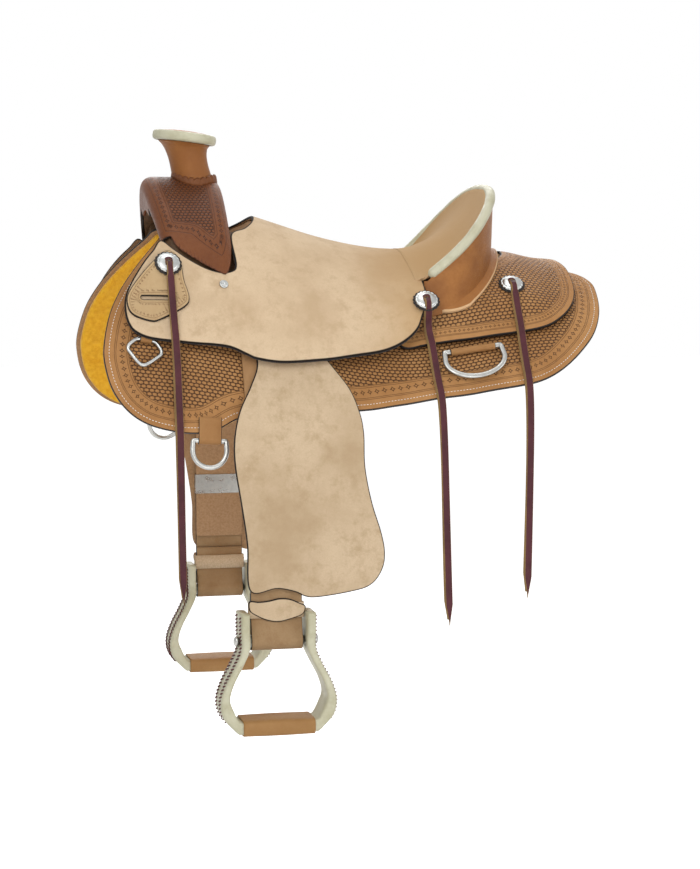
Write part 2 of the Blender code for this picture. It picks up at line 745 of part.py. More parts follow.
def leather_block(name):
    """A block outward of the leathers' plane, for cutting the bar's notch."""
    outline = [(LEATHER_X + x, v) for x, v in ((-0.080, -0.075), (0.110, -0.075), (0.110, 0.045), (-0.080, 0.045))]
    pivot, down, out = PLANE
    rings = [[pivot + down * v + out * level + Vector((x - pivot.x, 0.0, 0.0)) for x, v in outline]
             for level in (-GAP, 0.060)]
    return loft(name, rings)


V_CUTS = [BEND_START + BEND_LENGTH * i / 5 for i in range(6)] + [0.0, 0.05, 0.10, 0.14, 0.31, 0.36, 0.40]


def hanging_sheet(name, outline, level):
    """An open sheet of the leathers with this outline of (x, v)."""
    bm = flat_sheet(outline, (-0.20, -0.16, -0.12, -0.08, -0.04), V_CUTS)
    for vert in bm.verts:
        height = level(vert.co.y) if callable(level) else level
        vert.co = hang(vert.co.x, vert.co.y, height)
    face_outward(bm, lambda p: PLANE[2])
    return to_mesh(bm, name)


FENDER_EDGE = ((-0.176, 0.085), (-0.188, 0.119), (-0.206, 0.155), (-0.217, 0.195), (-0.218, 0.232), (-0.210, 0.284),
               (-0.202, 0.340), (-0.198, 0.405), (-0.160, 0.403), (-0.135, 0.408), (-0.109, 0.417), (-0.050, 0.410),
               (-0.024, 0.401), (-0.009, 0.381), (-0.005, 0.358), (-0.010, 0.329), (-0.024, 0.284),
               (-0.033, 0.236), (-0.032, 0.190), (-0.035, 0.160), (-0.046, 0.125), (-0.071, 0.087),
               (-0.100, 0.045), (-0.130, 0.004), (-0.150, -0.012), (-0.170, -0.012), (-0.186, 0.006), (-0.184, 0.045))
LOOP_LEVEL = STRAP + GAP
FENDER_LEVEL = 2 * STRAP + 2 * GAP + BUCKLE_WALL + GAP


def fender_level(v):
    return STRAP + GAP + (FENDER_LEVEL - STRAP - GAP) * ramp(v, FENDER_STEP_START, FENDER_STEP_END)


def build_leathers():
    pivot = PLANE[0]
    half = LEATHER_WIDTH / 2
    cap = [(LEATHER_X + half * math.cos(a), -half * math.sin(a)) for a in (math.pi * i / 10 for i in range(11))]
    outline = cap + [(LEATHER_X - half, LEATHER_LENGTH), (LEATHER_X + half, LEATHER_LENGTH)]
    for obj in pair("stirrup_leather", hanging_sheet("stirrup_leather", outline, 0.0), "natural", pivot):
        thicken(obj, STRAP)
    for obj in pair("fender", hanging_sheet("fender", FENDER_EDGE, fender_level), "suede", pivot):
        thicken(obj, FENDER)


def build_loop():
    """The folded leather that carries the stirrup, its buckle sleeve and the hobble strap."""
    top = hang(LEATHER_X, LOOP_TOP, 0.0)
    slide_origin = tuple(top)
    centre = STRAP + GAP / 2
    path = [(centre + GAP / 2 + STRAP / 2, v) for v in (LOOP_TOP, 0.33, 0.37, 0.41, LOOP_JOIN)]
    radius = SPOOL_RADIUS + 0.0008 + STRAP / 2
    turn = math.radians(38)
    for i in range(9):
        a = turn - (math.pi + 2 * turn) * i / 8
        path.append((centre + radius * math.cos(a), BOLT_DROP - radius * math.sin(a)))
    path += [(centre - GAP / 2 - STRAP / 2, v) for v in (LOOP_JOIN, 0.430, 0.410)]
    half = LEATHER_WIDTH / 2
    rows = [[hang(x, v, w) for x in (LEATHER_X - half, LEATHER_X + half)] for w, v in path]
    for obj in pair("leather_loop", open_loft("leather_loop", rows, lambda p: Vector((0, -1, 0))), "natural",
                    slide_origin):
        thicken(obj, STRAP, 0.0)
    build_sleeve("leather_buckle", LOOP_TOP + 0.002, 0.030, GAP, BUCKLE_WALL, "steel", slide_origin)
    build_sleeve("hobble_strap", HOBBLE_TOP, HOBBLE_HEIGHT, GAP, HOBBLE_WALL, "suede", slide_origin)


def build_sleeve(name, v, height, play, wall, look, origin):
    """A flat band round both layers of leather."""
    half = LEATHER_WIDTH / 2 + play
    low, high = -play, 2 * STRAP + GAP + play
    points = [(-half, low), (half, low), (half, high), (-half, high)]
    outer = [(x + math.copysign(wall, x), w + (wall if w > STRAP else -wall)) for x, w in points]
    rings = []
    for level in (v, v + height):
        rings.append([hang(LEATHER_X + x, level, w) for x, w in points])
        rings.append([hang(LEATHER_X + x, level, w) for x, w in outer])
    inner_top, outer_top, inner_low, outer_low = rings
    mesh = loft(name, [inner_top, outer_top, outer_low, inner_low, inner_top], caps=False)
    bm = bmesh.new()
    bm.from_mesh(mesh)
    bmesh.ops.remove_doubles(bm, verts=bm.verts[:], dist=1e-6)
    bmesh.ops.recalc_face_normals(bm, faces=bm.faces[:])
    bm.to_mesh(mesh)
    bm.free()
    pair(name, mesh, look, origin)


def stirrup_half(outer):
    """Outline (x, z) from the top of an ear down to the middle of the tread, x from the centre."""
    ear, wide, tread = STIRRUP_EAR_WIDTH / 2, STIRRUP_WIDTH / 2, TREAD_WIDTH / 2
    drop = -STIRRUP_DROP
    if outer:
        points = [(ear, EAR_RISE), (ear, 0.016), (ear, -0.010), (ear + 0.009, -0.032), (wide - 0.007, -0.058),
                  (wide, -0.082), (wide - 0.004, -0.104), (tread + 0.007, drop + 0.006)]
        return rounded(points, 2, False) + [Vector((tread, drop)), Vector((0.0, drop))]
    wall = STIRRUP_WALL
    points = [(ear - wall, EAR_RISE), (ear - wall, 0.016), (ear - wall, -0.008), (ear - wall + 0.009, -0.030),
              (wide - wall - 0.007, -0.056), (wide - wall - 0.001, -0.078), (wide - wall - 0.006, -0.094),
              (tread + 0.001, drop + TREAD_WALL + 0.003)]
    return rounded(points, 2, False) + [Vector((tread - 0.004, drop + TREAD_WALL)), Vector((0.0, drop + TREAD_WALL))]


def band_section(outer, inner, depth, chamfer):
    """Chamfered section of a flat band between two points of its outline, in (x, y, z)."""
    across = outer - inner
    width = across.length
    half = depth / 2
    corners = [(0.0, -half + chamfer), (chamfer, -half), (width - chamfer, -half), (width, -half + chamfer),
               (width, half - chamfer), (width - chamfer, half), (chamfer, half), (0.0, half - chamfer)]
    direction = across / width
    return [Vector((inner.x + direction.x * a, y, inner.y + direction.y * a)) for a, y in corners]


def build_stirrup():
    centre = hang(LEATHER_X, BOLT_DROP, STRAP + GAP / 2)
    origin = tuple(centre)
    halves = list(zip(stirrup_half(True), stirrup_half(False)))
    flip = Vector((-1.0, 1.0))
    stations = [(outer * flip, inner * flip) for outer, inner in halves] + halves[-2::-1]
    rings = [[centre + p for p in band_section(outer, inner, STIRRUP_DEPTH, 0.0035)] for outer, inner in stations]
    mesh = loft("stirrup", rings)
    stirrups = pair("stirrup", mesh, "rawhide", origin)
    hole = BOLT_RADIUS + GAP
    drill = turned("bolt_hole", [(0.0, 0.07), (hole, 0.07), (hole, -0.07), (0.0, -0.07)], 16,
                   Matrix.Translation(centre) @ Matrix.Rotation(math.pi / 2, 4, "Y"))
    for obj, mesh in zip(stirrups, (drill, mirrored(drill))):
        cut(obj, new_cutter(obj.name + "_bolt_hole", mesh))
    # The tread's leather wrap, round the straight bottom of the stirrup
    depth = STIRRUP_DEPTH / 2 + GAP
    low, high = -STIRRUP_DROP - GAP, -STIRRUP_DROP + TREAD_WALL + GAP
    section_in = [(-depth, low), (depth, low), (depth, high), (-depth, high)]
    reach = TREAD_WIDTH / 2 - 0.005
    chamfer = 0.004

    def grown(points, wall):
        out = []
        for y, z in points:
            sy, sz = math.copysign(1, y), (1 if z > (low + high) / 2 else -1)
            first, second = (y + sy * (wall - chamfer), z + sz * wall), (y + sy * wall, z + sz * (wall - chamfer))
            out += [first, second] if sy * sz < 0 else [second, first]
        return out

    section_out = grown(section_in, WRAP)
    inner_ring = [p for p in section_in for _ in (0, 1)]
    rings = []
    for x in (-reach, reach):
        rings.append([centre + Vector((x, y, z)) for y, z in inner_ring])
        rings.append([centre + Vector((x, y, z)) for y, z in section_out])
    near_in, near_out, far_in, far_out = rings
    wrap = loft("tread", [near_in, near_out, far_out, far_in, near_in], caps=False)
    bm = bmesh.new()
    bm.from_mesh(wrap)
    bmesh.ops.remove_doubles(bm, verts=bm.verts[:], dist=1e-6)
    bmesh.ops.recalc_face_normals(bm, faces=bm.faces[:])
    bm.to_mesh(wrap)
    bm.free()
    pair("tread", wrap, "natural", origin)
    # Bolt with a spool between the ears and a head and nut outside them
    ear = STIRRUP_EAR_WIDTH / 2 + 0.0009
    inside = LEATHER_WIDTH / 2 + 0.0015
    head = 0.0075
    profile = [(0.0, ear + 0.006), (head, ear + 0.005), (head, ear), (BOLT_RADIUS, ear), (BOLT_RADIUS, inside),
               (SPOOL_RADIUS, inside), (SPOOL_RADIUS, -inside), (BOLT_RADIUS, -inside), (BOLT_RADIUS, -ear),
               (head, -ear), (head, -ear - 0.005), (0.0, -ear - 0.006)]
    mesh = turned("stirrup_bolt", profile, 12, Matrix.Translation(centre) @ Matrix.Rotation(math.pi / 2, 4, "Y"))
    pair("stirrup_bolt", mesh, "steel", origin)


# Rigging dees


def dee_frame(ends, lift):
    """Frame at the middle of a dee's straight bar: X along the bar, Y up the side, Z outward."""
    (xa, sa), (xb, sb) = ends
    a, b = on_side(xa, sa, lift), on_side(xb, sb, lift)
    along = (b - a).normalized()
    out = outward((xa + xb) / 2, (sa + sb) / 2, lift)
    return frame_of((a + b) / 2, along, out - out.dot(along) * along), (b - a).length / 2


def build_dee(name, tab_name, ends, outline, wire, lift, tab):
    """A dee that hangs in a leather tab folded round its bar. tab is (half width, flap length, thickness)."""
    frame, half = dee_frame(ends, lift)
    local = [Vector((x, y, 0.0)) for x, y in outline(half)]
    mesh = curve_mesh(name, [frame @ p for p in local], wire, cyclic=True, resolution=1)
    pair(name, mesh, "steel", tuple(frame.translation))
    half_width, flap, thick = tab
    bore = wire + TUNNEL_PLAY
    shell = bore + TUNNEL_WALL
    if lift < shell:
        # Hangs off the skirt's lower edge: a strap that hooks round the bar from over the skirt
        flap_level = SKIRT + LAYER_GAP - lift + thick / 2
        radius = bore + thick / 2
        path = [(flap, flap_level), (0.020, flap_level), (0.009, flap_level)]
        for i in range(11):
            a = math.radians(78 + 20 * i)
            path.append((radius * math.cos(a), radius * math.sin(a)))
        rows = [[frame @ Vector((x, y, z)) for x in (-half_width, half_width)] for y, z in path]
        for obj in pair(tab_name, open_loft(tab_name, rows, lambda p: Vector((0.0, -1.0, 0.0))), "leather"):
            thicken(obj, thick, 0.0)
        return
    low = -shell
    first, last = math.asin((low + thick) / shell), math.radians(290)
    section_line = [(flap, low), (flap, low + thick)]
    for i in range(9):
        a = first + (last - first) * i / 8
        section_line.append((shell * math.cos(a), shell * math.sin(a)))
    section_line.append((0.0035, low))
    body = prism(tab_name, section_line, lambda y, z, x: frame @ Vector((x, y, z)), 2 * half_width)
    tabs = pair(tab_name, body, "leather")
    profile = [(0.0, half), (bore, half), (bore, -half), (0.0, -half)]
    drill = turned(tab_name + "_bore", profile, 12, frame @ Matrix.Rotation(math.pi / 2, 4, "Y"))
    for obj, mesh in zip(tabs, (drill, mirrored(drill))):
        cut(obj, new_cutter(obj.name + "_bore", mesh))


def dee_outline(depth, square=0.35, steps=8):
    """A straight bar with a round bow below it."""
    def points(half):
        out = [(-half, 0.0), (half, 0.0)]
        for i in range(steps + 1):
            a = math.pi * i / steps
            out.append((half * 1.04 * math.cos(a), -depth * square - depth * (1 - square) * math.sin(a)))
        return out
    return points


def ring_outline(depth, spread):
    """A straight bar whose sides open to a wide, shallow bow."""
    def points(half):
        return [(-half, 0.0), (half, 0.0), (half * spread, -depth * 0.30), (half * spread * 1.02, -depth * 0.48),
                (half * 0.72, -depth * 0.86), (half * 0.2, -depth), (-half * 0.2, -depth),
                (-half * 0.72, -depth * 0.86), (-half * spread * 1.02, -depth * 0.48), (-half * spread, -depth * 0.30)]
    return points


def build_rigging():
    rear_lift = SKIRT + GAP + DEE_WIRE + TUNNEL_PLAY + TUNNEL_WALL + 0.0006
    build_dee("rear_dee", "rear_rigging", ((0.100, 0.203), (0.182, 0.206)), dee_outline(0.046), DEE_WIRE, rear_lift,
              (0.033, 0.004, 0.004))
    build_dee("front_dee", "front_rigging", ((-0.271, 0.383), (-0.225, 0.377)), dee_outline(0.038), DEE_WIRE,
              FRONT_DEE_LIFT, (0.016, 0.032, 0.0020))
    breast_lift = SKIRT + GAP + BREAST_WIRE + TUNNEL_PLAY + TUNNEL_WALL + 0.0004
    build_dee("breast_dee", "breast_tab", ((-0.343, 0.248), (-0.317, 0.250)), ring_outline(0.038, 1.75), BREAST_WIRE,
              breast_lift, (0.0085, 0.030, 0.003))


# Conchos, strings and small pieces

ROPE_TAB = ((-0.295, 0.124), (-0.306, 0.133), (-0.330, 0.160), (-0.353, 0.191), (-0.356, 0.208), (-0.348, 0.221),
            (-0.325, 0.227), (-0.311, 0.224), (-0.276, 0.203), (-0.268, 0.189), (-0.274, 0.165), (-0.276, 0.140),
            (-0.283, 0.127))
SLOT = ((-0.334, 0.1945), (-0.292, 0.1905), (-0.292, 0.1955), (-0.334, 0.1995))
CONCHOS = (("front", -0.295, 0.146, on_seat(0.0009 + STRAP + 0.0006)), ("mid", 0.076, 0.142, on_seat(0.0006)),
           ("rear", 0.216, 0.110, lambda x, s: jockey_lift(x, s) + JOCKEY + 0.0005))


def build_rope_tab():
    mesh = side_sheet("rope_tab", [Vector(p) for p in ROPE_TAB], on_seat(0.0009))
    tabs = pair("rope_tab", mesh, "natural")
    corners = [on_side(x, s, seat_lift) for x, s in SLOT]
    out = outward(-0.313, 0.195)
    slot = loft("rope_slot", [[p + out * level for p in corners] for level in (-0.010, 0.025)])
    for obj, cutter_mesh in zip(tabs, (slot, mirrored(slot))):
        thicken(obj, STRAP)
        cut(obj, new_cutter(obj.name + "_slot", cutter_mesh))


def build_conchos():
    profile = [(0.0, 0.0062), (CONCHO_RADIUS - 0.003, 0.0050), (CONCHO_RADIUS, 0.0028), (ROSETTE_RADIUS, 0.0026),
               (ROSETTE_RADIUS, 0.0), (0.0, 0.0)]
    for place, x, s, lift in CONCHOS:
        frame = frame_of(on_side(x, s, lift), Vector((1, 0, 0)), outward(x, s, lift))
        pair("concho_" + place, turned("concho_" + place, profile, 14, frame), "silver")
    screw = [(0.0, 0.0030), (0.0045, 0.0024), (0.0065, 0.0008), (0.0065, 0.0), (0.0, 0.0)]
    x, s = -0.217, 0.160
    frame = frame_of(on_side(x, s, on_seat(0.0004)), Vector((1, 0, 0)), outward(x, s, seat_lift))
    pair("seat_screw", turned("seat_screw", screw, 12, frame), "silver")


# Points down each string: (x, s, height over the layers) on the leather, then (x, drop below them)
ON_SKIRT = SKIRT + 0.0016


def string_on_jockey(x, s):
    return on_jockey(x, s) + 0.0012


STRINGS = (
    ("string_front", ((-0.294, 0.169, on_seat(0.0055)), (-0.293, 0.215, on_seat(0.0055)),
                      (-0.291, 0.246, on_seat(0.0016)), (-0.290, 0.285, 0.0150), (-0.290, 0.330, 0.0080),
                      (-0.290, 0.371, ON_SKIRT)),
     ((-0.290, 0.045), (-0.289, 0.140), (-0.287, 0.245))),
    ("string_mid", ((0.079, 0.1665, string_on_jockey), (0.082, 0.186, string_on_jockey),
                    (0.084, 0.215, ON_SKIRT + 0.003), (0.085, 0.245, ON_SKIRT), (0.087, 0.268, ON_SKIRT)),
     ((0.090, 0.060), (0.094, 0.180), (0.099, 0.330))),
    ("string_rear", ((0.2145, 0.1335, string_on_jockey), (0.214, 0.160, string_on_jockey),
                     (0.214, 0.185, string_on_jockey), (0.214, 0.215, ON_SKIRT + 0.003), (0.214, 0.245, ON_SKIRT),
                     (0.214, 0.270, ON_SKIRT)),
     ((0.215, 0.060), (0.214, 0.180), (0.212, 0.310))),
)


def string_route(leather_points, free_points):
    """A string's centre line: down over the leather, then plumb under its own weight."""
    route = [on_side(x, s, lift) for x, s, lift in leather_points]
    last = route[-1]
    for x, drop in free_points:
        route.append(Vector((x, last.y - 0.003, last.z - drop)))
    return rounded(route, 4, False)


def build_strings():
    half = STRING_WIDTH / 2
    for name, leather_points, free_points in STRINGS:
        route = string_route(leather_points, free_points)
        rows = [[p + Vector((-half, 0, 0)), p + Vector((half, 0, 0))] for p in route]
        strap = add(name + "_near", open_loft(name, rows, lambda p: Vector((0.0, -1.0, 0.2))), "burgundy")
        thicken(strap, STRING_THICK)


def build_all():
    build_skirts()
    build_jockeys()
    build_bars()
    build_fork()
    build_horn()
    build_seat()
    build_cantle()
    build_leathers()
    build_loop()
    build_stirrup()
    build_rigging()
    build_rope_tab()
    build_conchos()
    build_strings()


clear_scene()
SADDLE = new_collection("wade_saddle")
CUTTERS = new_collection("cutters")
PLANE = plane_frame()
build_all()
bpy.context.view_layer.update()
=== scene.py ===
"""The looks of a wade roping saddle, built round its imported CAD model.

Metres, in the CAD's frame: -X is the horn end, +X the cantle end, -Y the near side, +Z up.
Leather that lies on the horse is placed by x, by s, the distance down the side from the spine
line, and by lift, the height over the horse-side surface. A negative s is the off side.
"""

import json
import math

import bmesh
import bpy
import numpy as np
from mathutils import Matrix, Vector
from mathutils.geometry import delaunay_2d_cdt
from mathutils.kdtree import KDTree


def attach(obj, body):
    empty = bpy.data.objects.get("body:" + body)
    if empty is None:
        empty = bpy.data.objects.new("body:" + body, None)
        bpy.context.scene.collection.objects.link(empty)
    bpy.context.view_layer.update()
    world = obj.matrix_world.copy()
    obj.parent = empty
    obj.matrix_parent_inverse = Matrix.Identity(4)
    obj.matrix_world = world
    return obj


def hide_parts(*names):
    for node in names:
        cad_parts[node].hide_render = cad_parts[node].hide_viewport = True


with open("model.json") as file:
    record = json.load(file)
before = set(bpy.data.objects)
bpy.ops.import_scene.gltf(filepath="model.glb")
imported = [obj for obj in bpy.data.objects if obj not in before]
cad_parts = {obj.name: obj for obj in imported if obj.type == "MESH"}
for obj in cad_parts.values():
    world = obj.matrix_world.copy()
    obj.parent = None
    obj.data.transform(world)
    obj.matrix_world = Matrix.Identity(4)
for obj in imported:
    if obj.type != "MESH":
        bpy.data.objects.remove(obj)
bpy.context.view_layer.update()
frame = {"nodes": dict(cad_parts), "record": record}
BODY_OF = {node: body for body, nodes in frame["record"]["behaviour"]["bodies"].items() for node in nodes}

# Camera and light

VIEW_AZ, VIEW_EL, VIEW_DISTANCE = math.radians(-13.0), math.radians(5.5), 3.5
VIEW_TARGET = Vector((0.0, 0.0, -0.220))
LENS = 96.66


def build_camera():
    level = math.cos(VIEW_EL)
    back = Vector((math.sin(VIEW_AZ) * level, -math.cos(VIEW_AZ) * level, math.sin(VIEW_EL)))
    data = bpy.data.cameras.new("camera")
    data.lens = LENS
    camera = bpy.data.objects.new("camera", data)
    camera.location = VIEW_TARGET + back * VIEW_DISTANCE
    camera.rotation_mode = "QUATERNION"
    camera.rotation_quaternion = (-back).to_track_quat("-Z", "Y")
    bpy.context.scene.collection.objects.link(camera)
    bpy.context.scene.camera = camera


build_camera()

# The horse-side surface

SPINE_HEIGHT = ((-0.44, 0.120), (-0.34, 0.112), (-0.24, 0.094), (-0.14, 0.066), (-0.05, 0.038),
                (0.03, 0.022), (0.10, 0.020), (0.18, 0.027), (0.26, 0.029), (0.33, 0.024), (0.40, 0.012))
TOP_FALL = ((-0.44, 46.0), (-0.25, 44.0), (-0.10, 38.0), (0.05, 32.0), (0.20, 25.0), (0.36, 22.0))
LOW_FALL = ((-0.44, 72.0), (-0.20, 70.0), (0.0, 68.0), (0.20, 66.0), (0.36, 62.0))
SPINE_ROUNDING = 0.040
FALL_SPAN = 0.320
SECTION_STEP = 0.002
SKIRT = SEAT = JOCKEY = 0.0045
LINING = 0.0100
STRAP = 0.0035
GAP = 0.0003
LAYER_GAP = 0.0006
REST_GAP = 0.0009
JOCKEY_LIFT, JOCKEY_OVER_BAR = 0.0105, 0.0104
SEAT_LIFT, SEAT_FILL = 0.0335, 0.016
SEAT_EDGE_LIFT = ((-0.36, 0.0155), (-0.27, 0.0175), (-0.20, 0.0235), (-0.06, 0.0255), (0.02, 0.0175),
                  (0.10, 0.0165))
BAR_TOP = 0.0197


def smooth(table, x):
    """Value of a table of (x, value) at x, on a smooth curve through its rows."""
    xs, ys = np.array(table).T
    slopes = np.zeros(len(xs))
    slopes[1:-1] = (ys[2:] - ys[:-2]) / (xs[2:] - xs[:-2])
    i = np.clip(np.searchsorted(xs, x, side="right") - 1, 0, len(xs) - 2)
    h = xs[i + 1] - xs[i]
    t = np.clip((x - xs[i]) / h, 0.0, 1.0)
    return (ys[i] * (1 + 2 * t) * (1 - t) ** 2 + slopes[i] * h * t * (1 - t) ** 2
            + ys[i + 1] * t * t * (3 - 2 * t) + slopes[i + 1] * h * t * t * (t - 1))


def ramp(value, low, high):
    """0 below low, 1 above high, and a smooth rise between them."""
    t = np.clip((np.asarray(value, float) - low) / (high - low), 0.0, 1.0)
    return t * t * (3 - 2 * t)


def fall(x, s):
    """Angle below level of the side at x and s, in radians."""
    top, low = smooth(TOP_FALL, x), smooth(LOW_FALL, x)
    return np.radians(top * (1 - np.exp(-s / SPINE_ROUNDING)) + (low - top) * np.minimum(s / FALL_SPAN, 1.1))


X_FIRST, X_STEP, X_COUNT, S_COUNT = -0.46, 0.004, 221, 241
GRID_X = X_FIRST + X_STEP * np.arange(X_COUNT)
GRID_FALL = fall(GRID_X[:, None], (np.arange(S_COUNT - 1)[None, :] + 0.5) * SECTION_STEP)
EDGE = np.zeros((X_COUNT, 1))
OUT = np.hstack([EDGE, np.cumsum(SECTION_STEP * np.cos(GRID_FALL), axis=1)])
DOWN = np.hstack([EDGE, np.cumsum(SECTION_STEP * np.sin(GRID_FALL), axis=1)])


def side(x, s, lift=0.0):
    """Points at x and s, lift over the horse-side surface."""
    x, s = np.broadcast_arrays(np.asarray(x, float), np.asarray(s, float))
    hand = np.where(s < 0, 1.0, -1.0)
    s = np.abs(s)
    gx = np.clip((x - X_FIRST) / X_STEP, 0, X_COUNT - 1.001)
    gs = np.clip(s / SECTION_STEP, 0, S_COUNT - 1.001)
    i, k = gx.astype(int), gs.astype(int)
    f, g = gx - i, gs - k

    def between(grid):
        return ((grid[i, k] * (1 - g) + grid[i, k + 1] * g) * (1 - f)
                + (grid[i + 1, k] * (1 - g) + grid[i + 1, k + 1] * g) * f)

    a = fall(x, s)
    return np.stack([x, hand * (between(OUT) + lift * np.sin(a)),
                     smooth(SPINE_HEIGHT, x) - between(DOWN) + lift * np.cos(a)], axis=-1)


NORMAL_STEP = 0.012


def outward(x, s, lift):
    """Outward normal of a layer at one x and s."""
    along = side(x + NORMAL_STEP, s, lift) - side(x - NORMAL_STEP, s, lift)
    down = side(x, s + NORMAL_STEP, lift) - side(x, s - NORMAL_STEP, lift)
    return Vector(np.cross(along, -down)).normalized()


def seat_lift(x, s):
    """The seat leather's underside: high over the tree, and low at its edge."""
    s = np.abs(s)
    fill = SEAT_FILL * ramp(x, -0.03, 0.09) * np.exp(-((s - 0.125) / 0.05) ** 2)
    return SEAT_LIFT + fill - (SEAT_LIFT - smooth(SEAT_EDGE_LIFT, x)) * ramp(s, 0.15, 0.25)


def jockey_lift(x, s):
    """The rear jockeys' underside, raised over the tree's bars."""
    s = np.abs(s)
    return JOCKEY_LIFT + JOCKEY_OVER_BAR * ramp(-s, -0.185, -0.13) * ramp(-x, -0.29, -0.22)


# Meshes


def link(obj):
    bpy.context.scene.collection.objects.link(obj)
    return obj


def mesh_object(name, points, faces, materials, face_slots=None, uvs=None):
    """An object from points, faces, a material for each slot, and UV layers by name, one row a corner."""
    mesh = bpy.data.meshes.new(name)
    mesh.from_pydata(np.asarray(points, float).tolist(), [], [list(map(int, f)) for f in faces])
    for material in materials:
        mesh.materials.append(material)
    if face_slots is not None:
        mesh.polygons.foreach_set("material_index", np.asarray(face_slots, np.int32))
    for layer, values in (uvs or {}).items():
        mesh.uv_layers.new(name=layer).data.foreach_set("uv", np.asarray(values, np.float32).ravel())
    mesh.polygons.foreach_set("use_smooth", np.ones(len(mesh.polygons), bool))
    mesh.update()
    return link(bpy.data.objects.new(name, mesh))


def put(obj, node, replaced=True):
    """The piece rides with a CAD node, and stands for it unless it only adds to it."""
    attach(obj, BODY_OF[node])
    if replaced:
        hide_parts(node)
    return obj


def put_pair(obj, node, replaced=True):
    """The piece and its mirror image, as the near and the off one."""
    mesh = obj.data.copy()
    mesh.transform(Matrix.Diagonal((1.0, -1.0, 1.0, 1.0)))
    mesh.flip_normals()
    other = link(bpy.data.objects.new(obj.name + "_off_visual", mesh))
    obj.name += "_near_visual"
    return [put(obj, node + "_near", replaced), put(other, node + "_off", replaced)]


def tidy(obj, merge=2e-6):
    """Joins points that coincide, where a distance is given, and turns every face outward."""
    bm = bmesh.new()
    bm.from_mesh(obj.data)
    if merge:
        bmesh.ops.remove_doubles(bm, verts=bm.verts[:], dist=merge)
    bmesh.ops.recalc_face_normals(bm, faces=bm.faces[:])
    bm.to_mesh(obj.data)
    bm.free()
    return obj


def curve_through(points, steps=12, closed=True):
    """Close points on a smooth curve through the given ones."""
    p = np.asarray(points, float)
    n = len(p)
    t = (np.arange(steps) / steps)[:, None]
    out = []
    for i in range(n if closed else n - 1):
        places = [(i + k) % n if closed else min(max(i + k, 0), n - 1) for k in (-1, 0, 1, 2)]
        p0, p1, p2, p3 = p[places]
        out.append(0.5 * (2 * p1 + (p2 - p0) * t + (2 * p0 - 5 * p1 + 4 * p2 - p3) * t * t
                          + (3 * p1 - p0 - 3 * p2 + p3) * t ** 3))
    return np.vstack(out if closed else out + [p[-1:]])


def lengths_along(points):
    """How far along a line each of its points lies."""
    return np.concatenate([[0.0], np.cumsum(np.linalg.norm(np.diff(points, axis=0), axis=1))])


def even(points, step, closed=True):
    """The line again, with points about step apart."""
    p = np.vstack([points, points[:1]]) if closed else np.asarray(points, float)
    along = lengths_along(p)
    at = np.linspace(0.0, along[-1], max(3, round(along[-1] / step)) + 1)
    if closed:
        at = at[:-1]
    return np.stack([np.interp(at, along, p[:, k]) for k in range(p.shape[1])], axis=1)


def inward(outline):
    """Unit normals of a closed flat outline, to its inside."""
    tangent = np.roll(outline, -1, axis=0) - np.roll(outline, 1, axis=0)
    tangent /= np.linalg.norm(tangent, axis=1)[:, None]
    x, y = outline.T
    area = 0.5 * np.sum(x * np.roll(y, -1) - y * np.roll(x, -1))
    normal = np.stack([-tangent[:, 1], tangent[:, 0]], axis=1)
    return normal if area > 0 else -normal


def inside_of(points, outline):
    """Which points lie inside a closed outline."""
    x, y = outline.T
    xn, yn = np.roll(x, -1), np.roll(y, -1)
    px, py = points[:, :1], points[:, 1:]
    at = (xn - x) * (py - y) / np.where(yn == y, 1e-12, yn - y) + x
    return (((y > py) != (yn > py)) & (px < at)).sum(axis=1) % 2 == 1


AT_ONCE = 2000


def from_edge(points, outline):
    """Each point's distance from the outline, and how far along it the nearest place is."""
    a, b = outline, np.roll(outline, -1, axis=0)
    d = b - a
    length = np.linalg.norm(d, axis=1)
    start = np.concatenate([[0.0], np.cumsum(length)[:-1]])
    distance, arc = np.empty(len(points)), np.empty(len(points))
    for first in range(0, len(points), AT_ONCE):
        part = slice(first, first + AT_ONCE)
        p = points[part, None, :]
        t = np.clip(np.sum((p - a) * d, axis=2) / (length ** 2), 0.0, 1.0)
        away = np.linalg.norm(p - a - t[..., None] * d, axis=2)
        i = np.argmin(away, axis=1)
        rows = np.arange(len(i))
        distance[part] = away[rows, i]
        arc[part] = start[i] + t[rows, i] * length[i]
    return distance, arc


RINGS = (0.0, 0.0005, 0.0012, 0.0024, 0.0045, 0.0075)
HOLE_STEP, HOLE_BLACKING = 0.0015, 0.0004


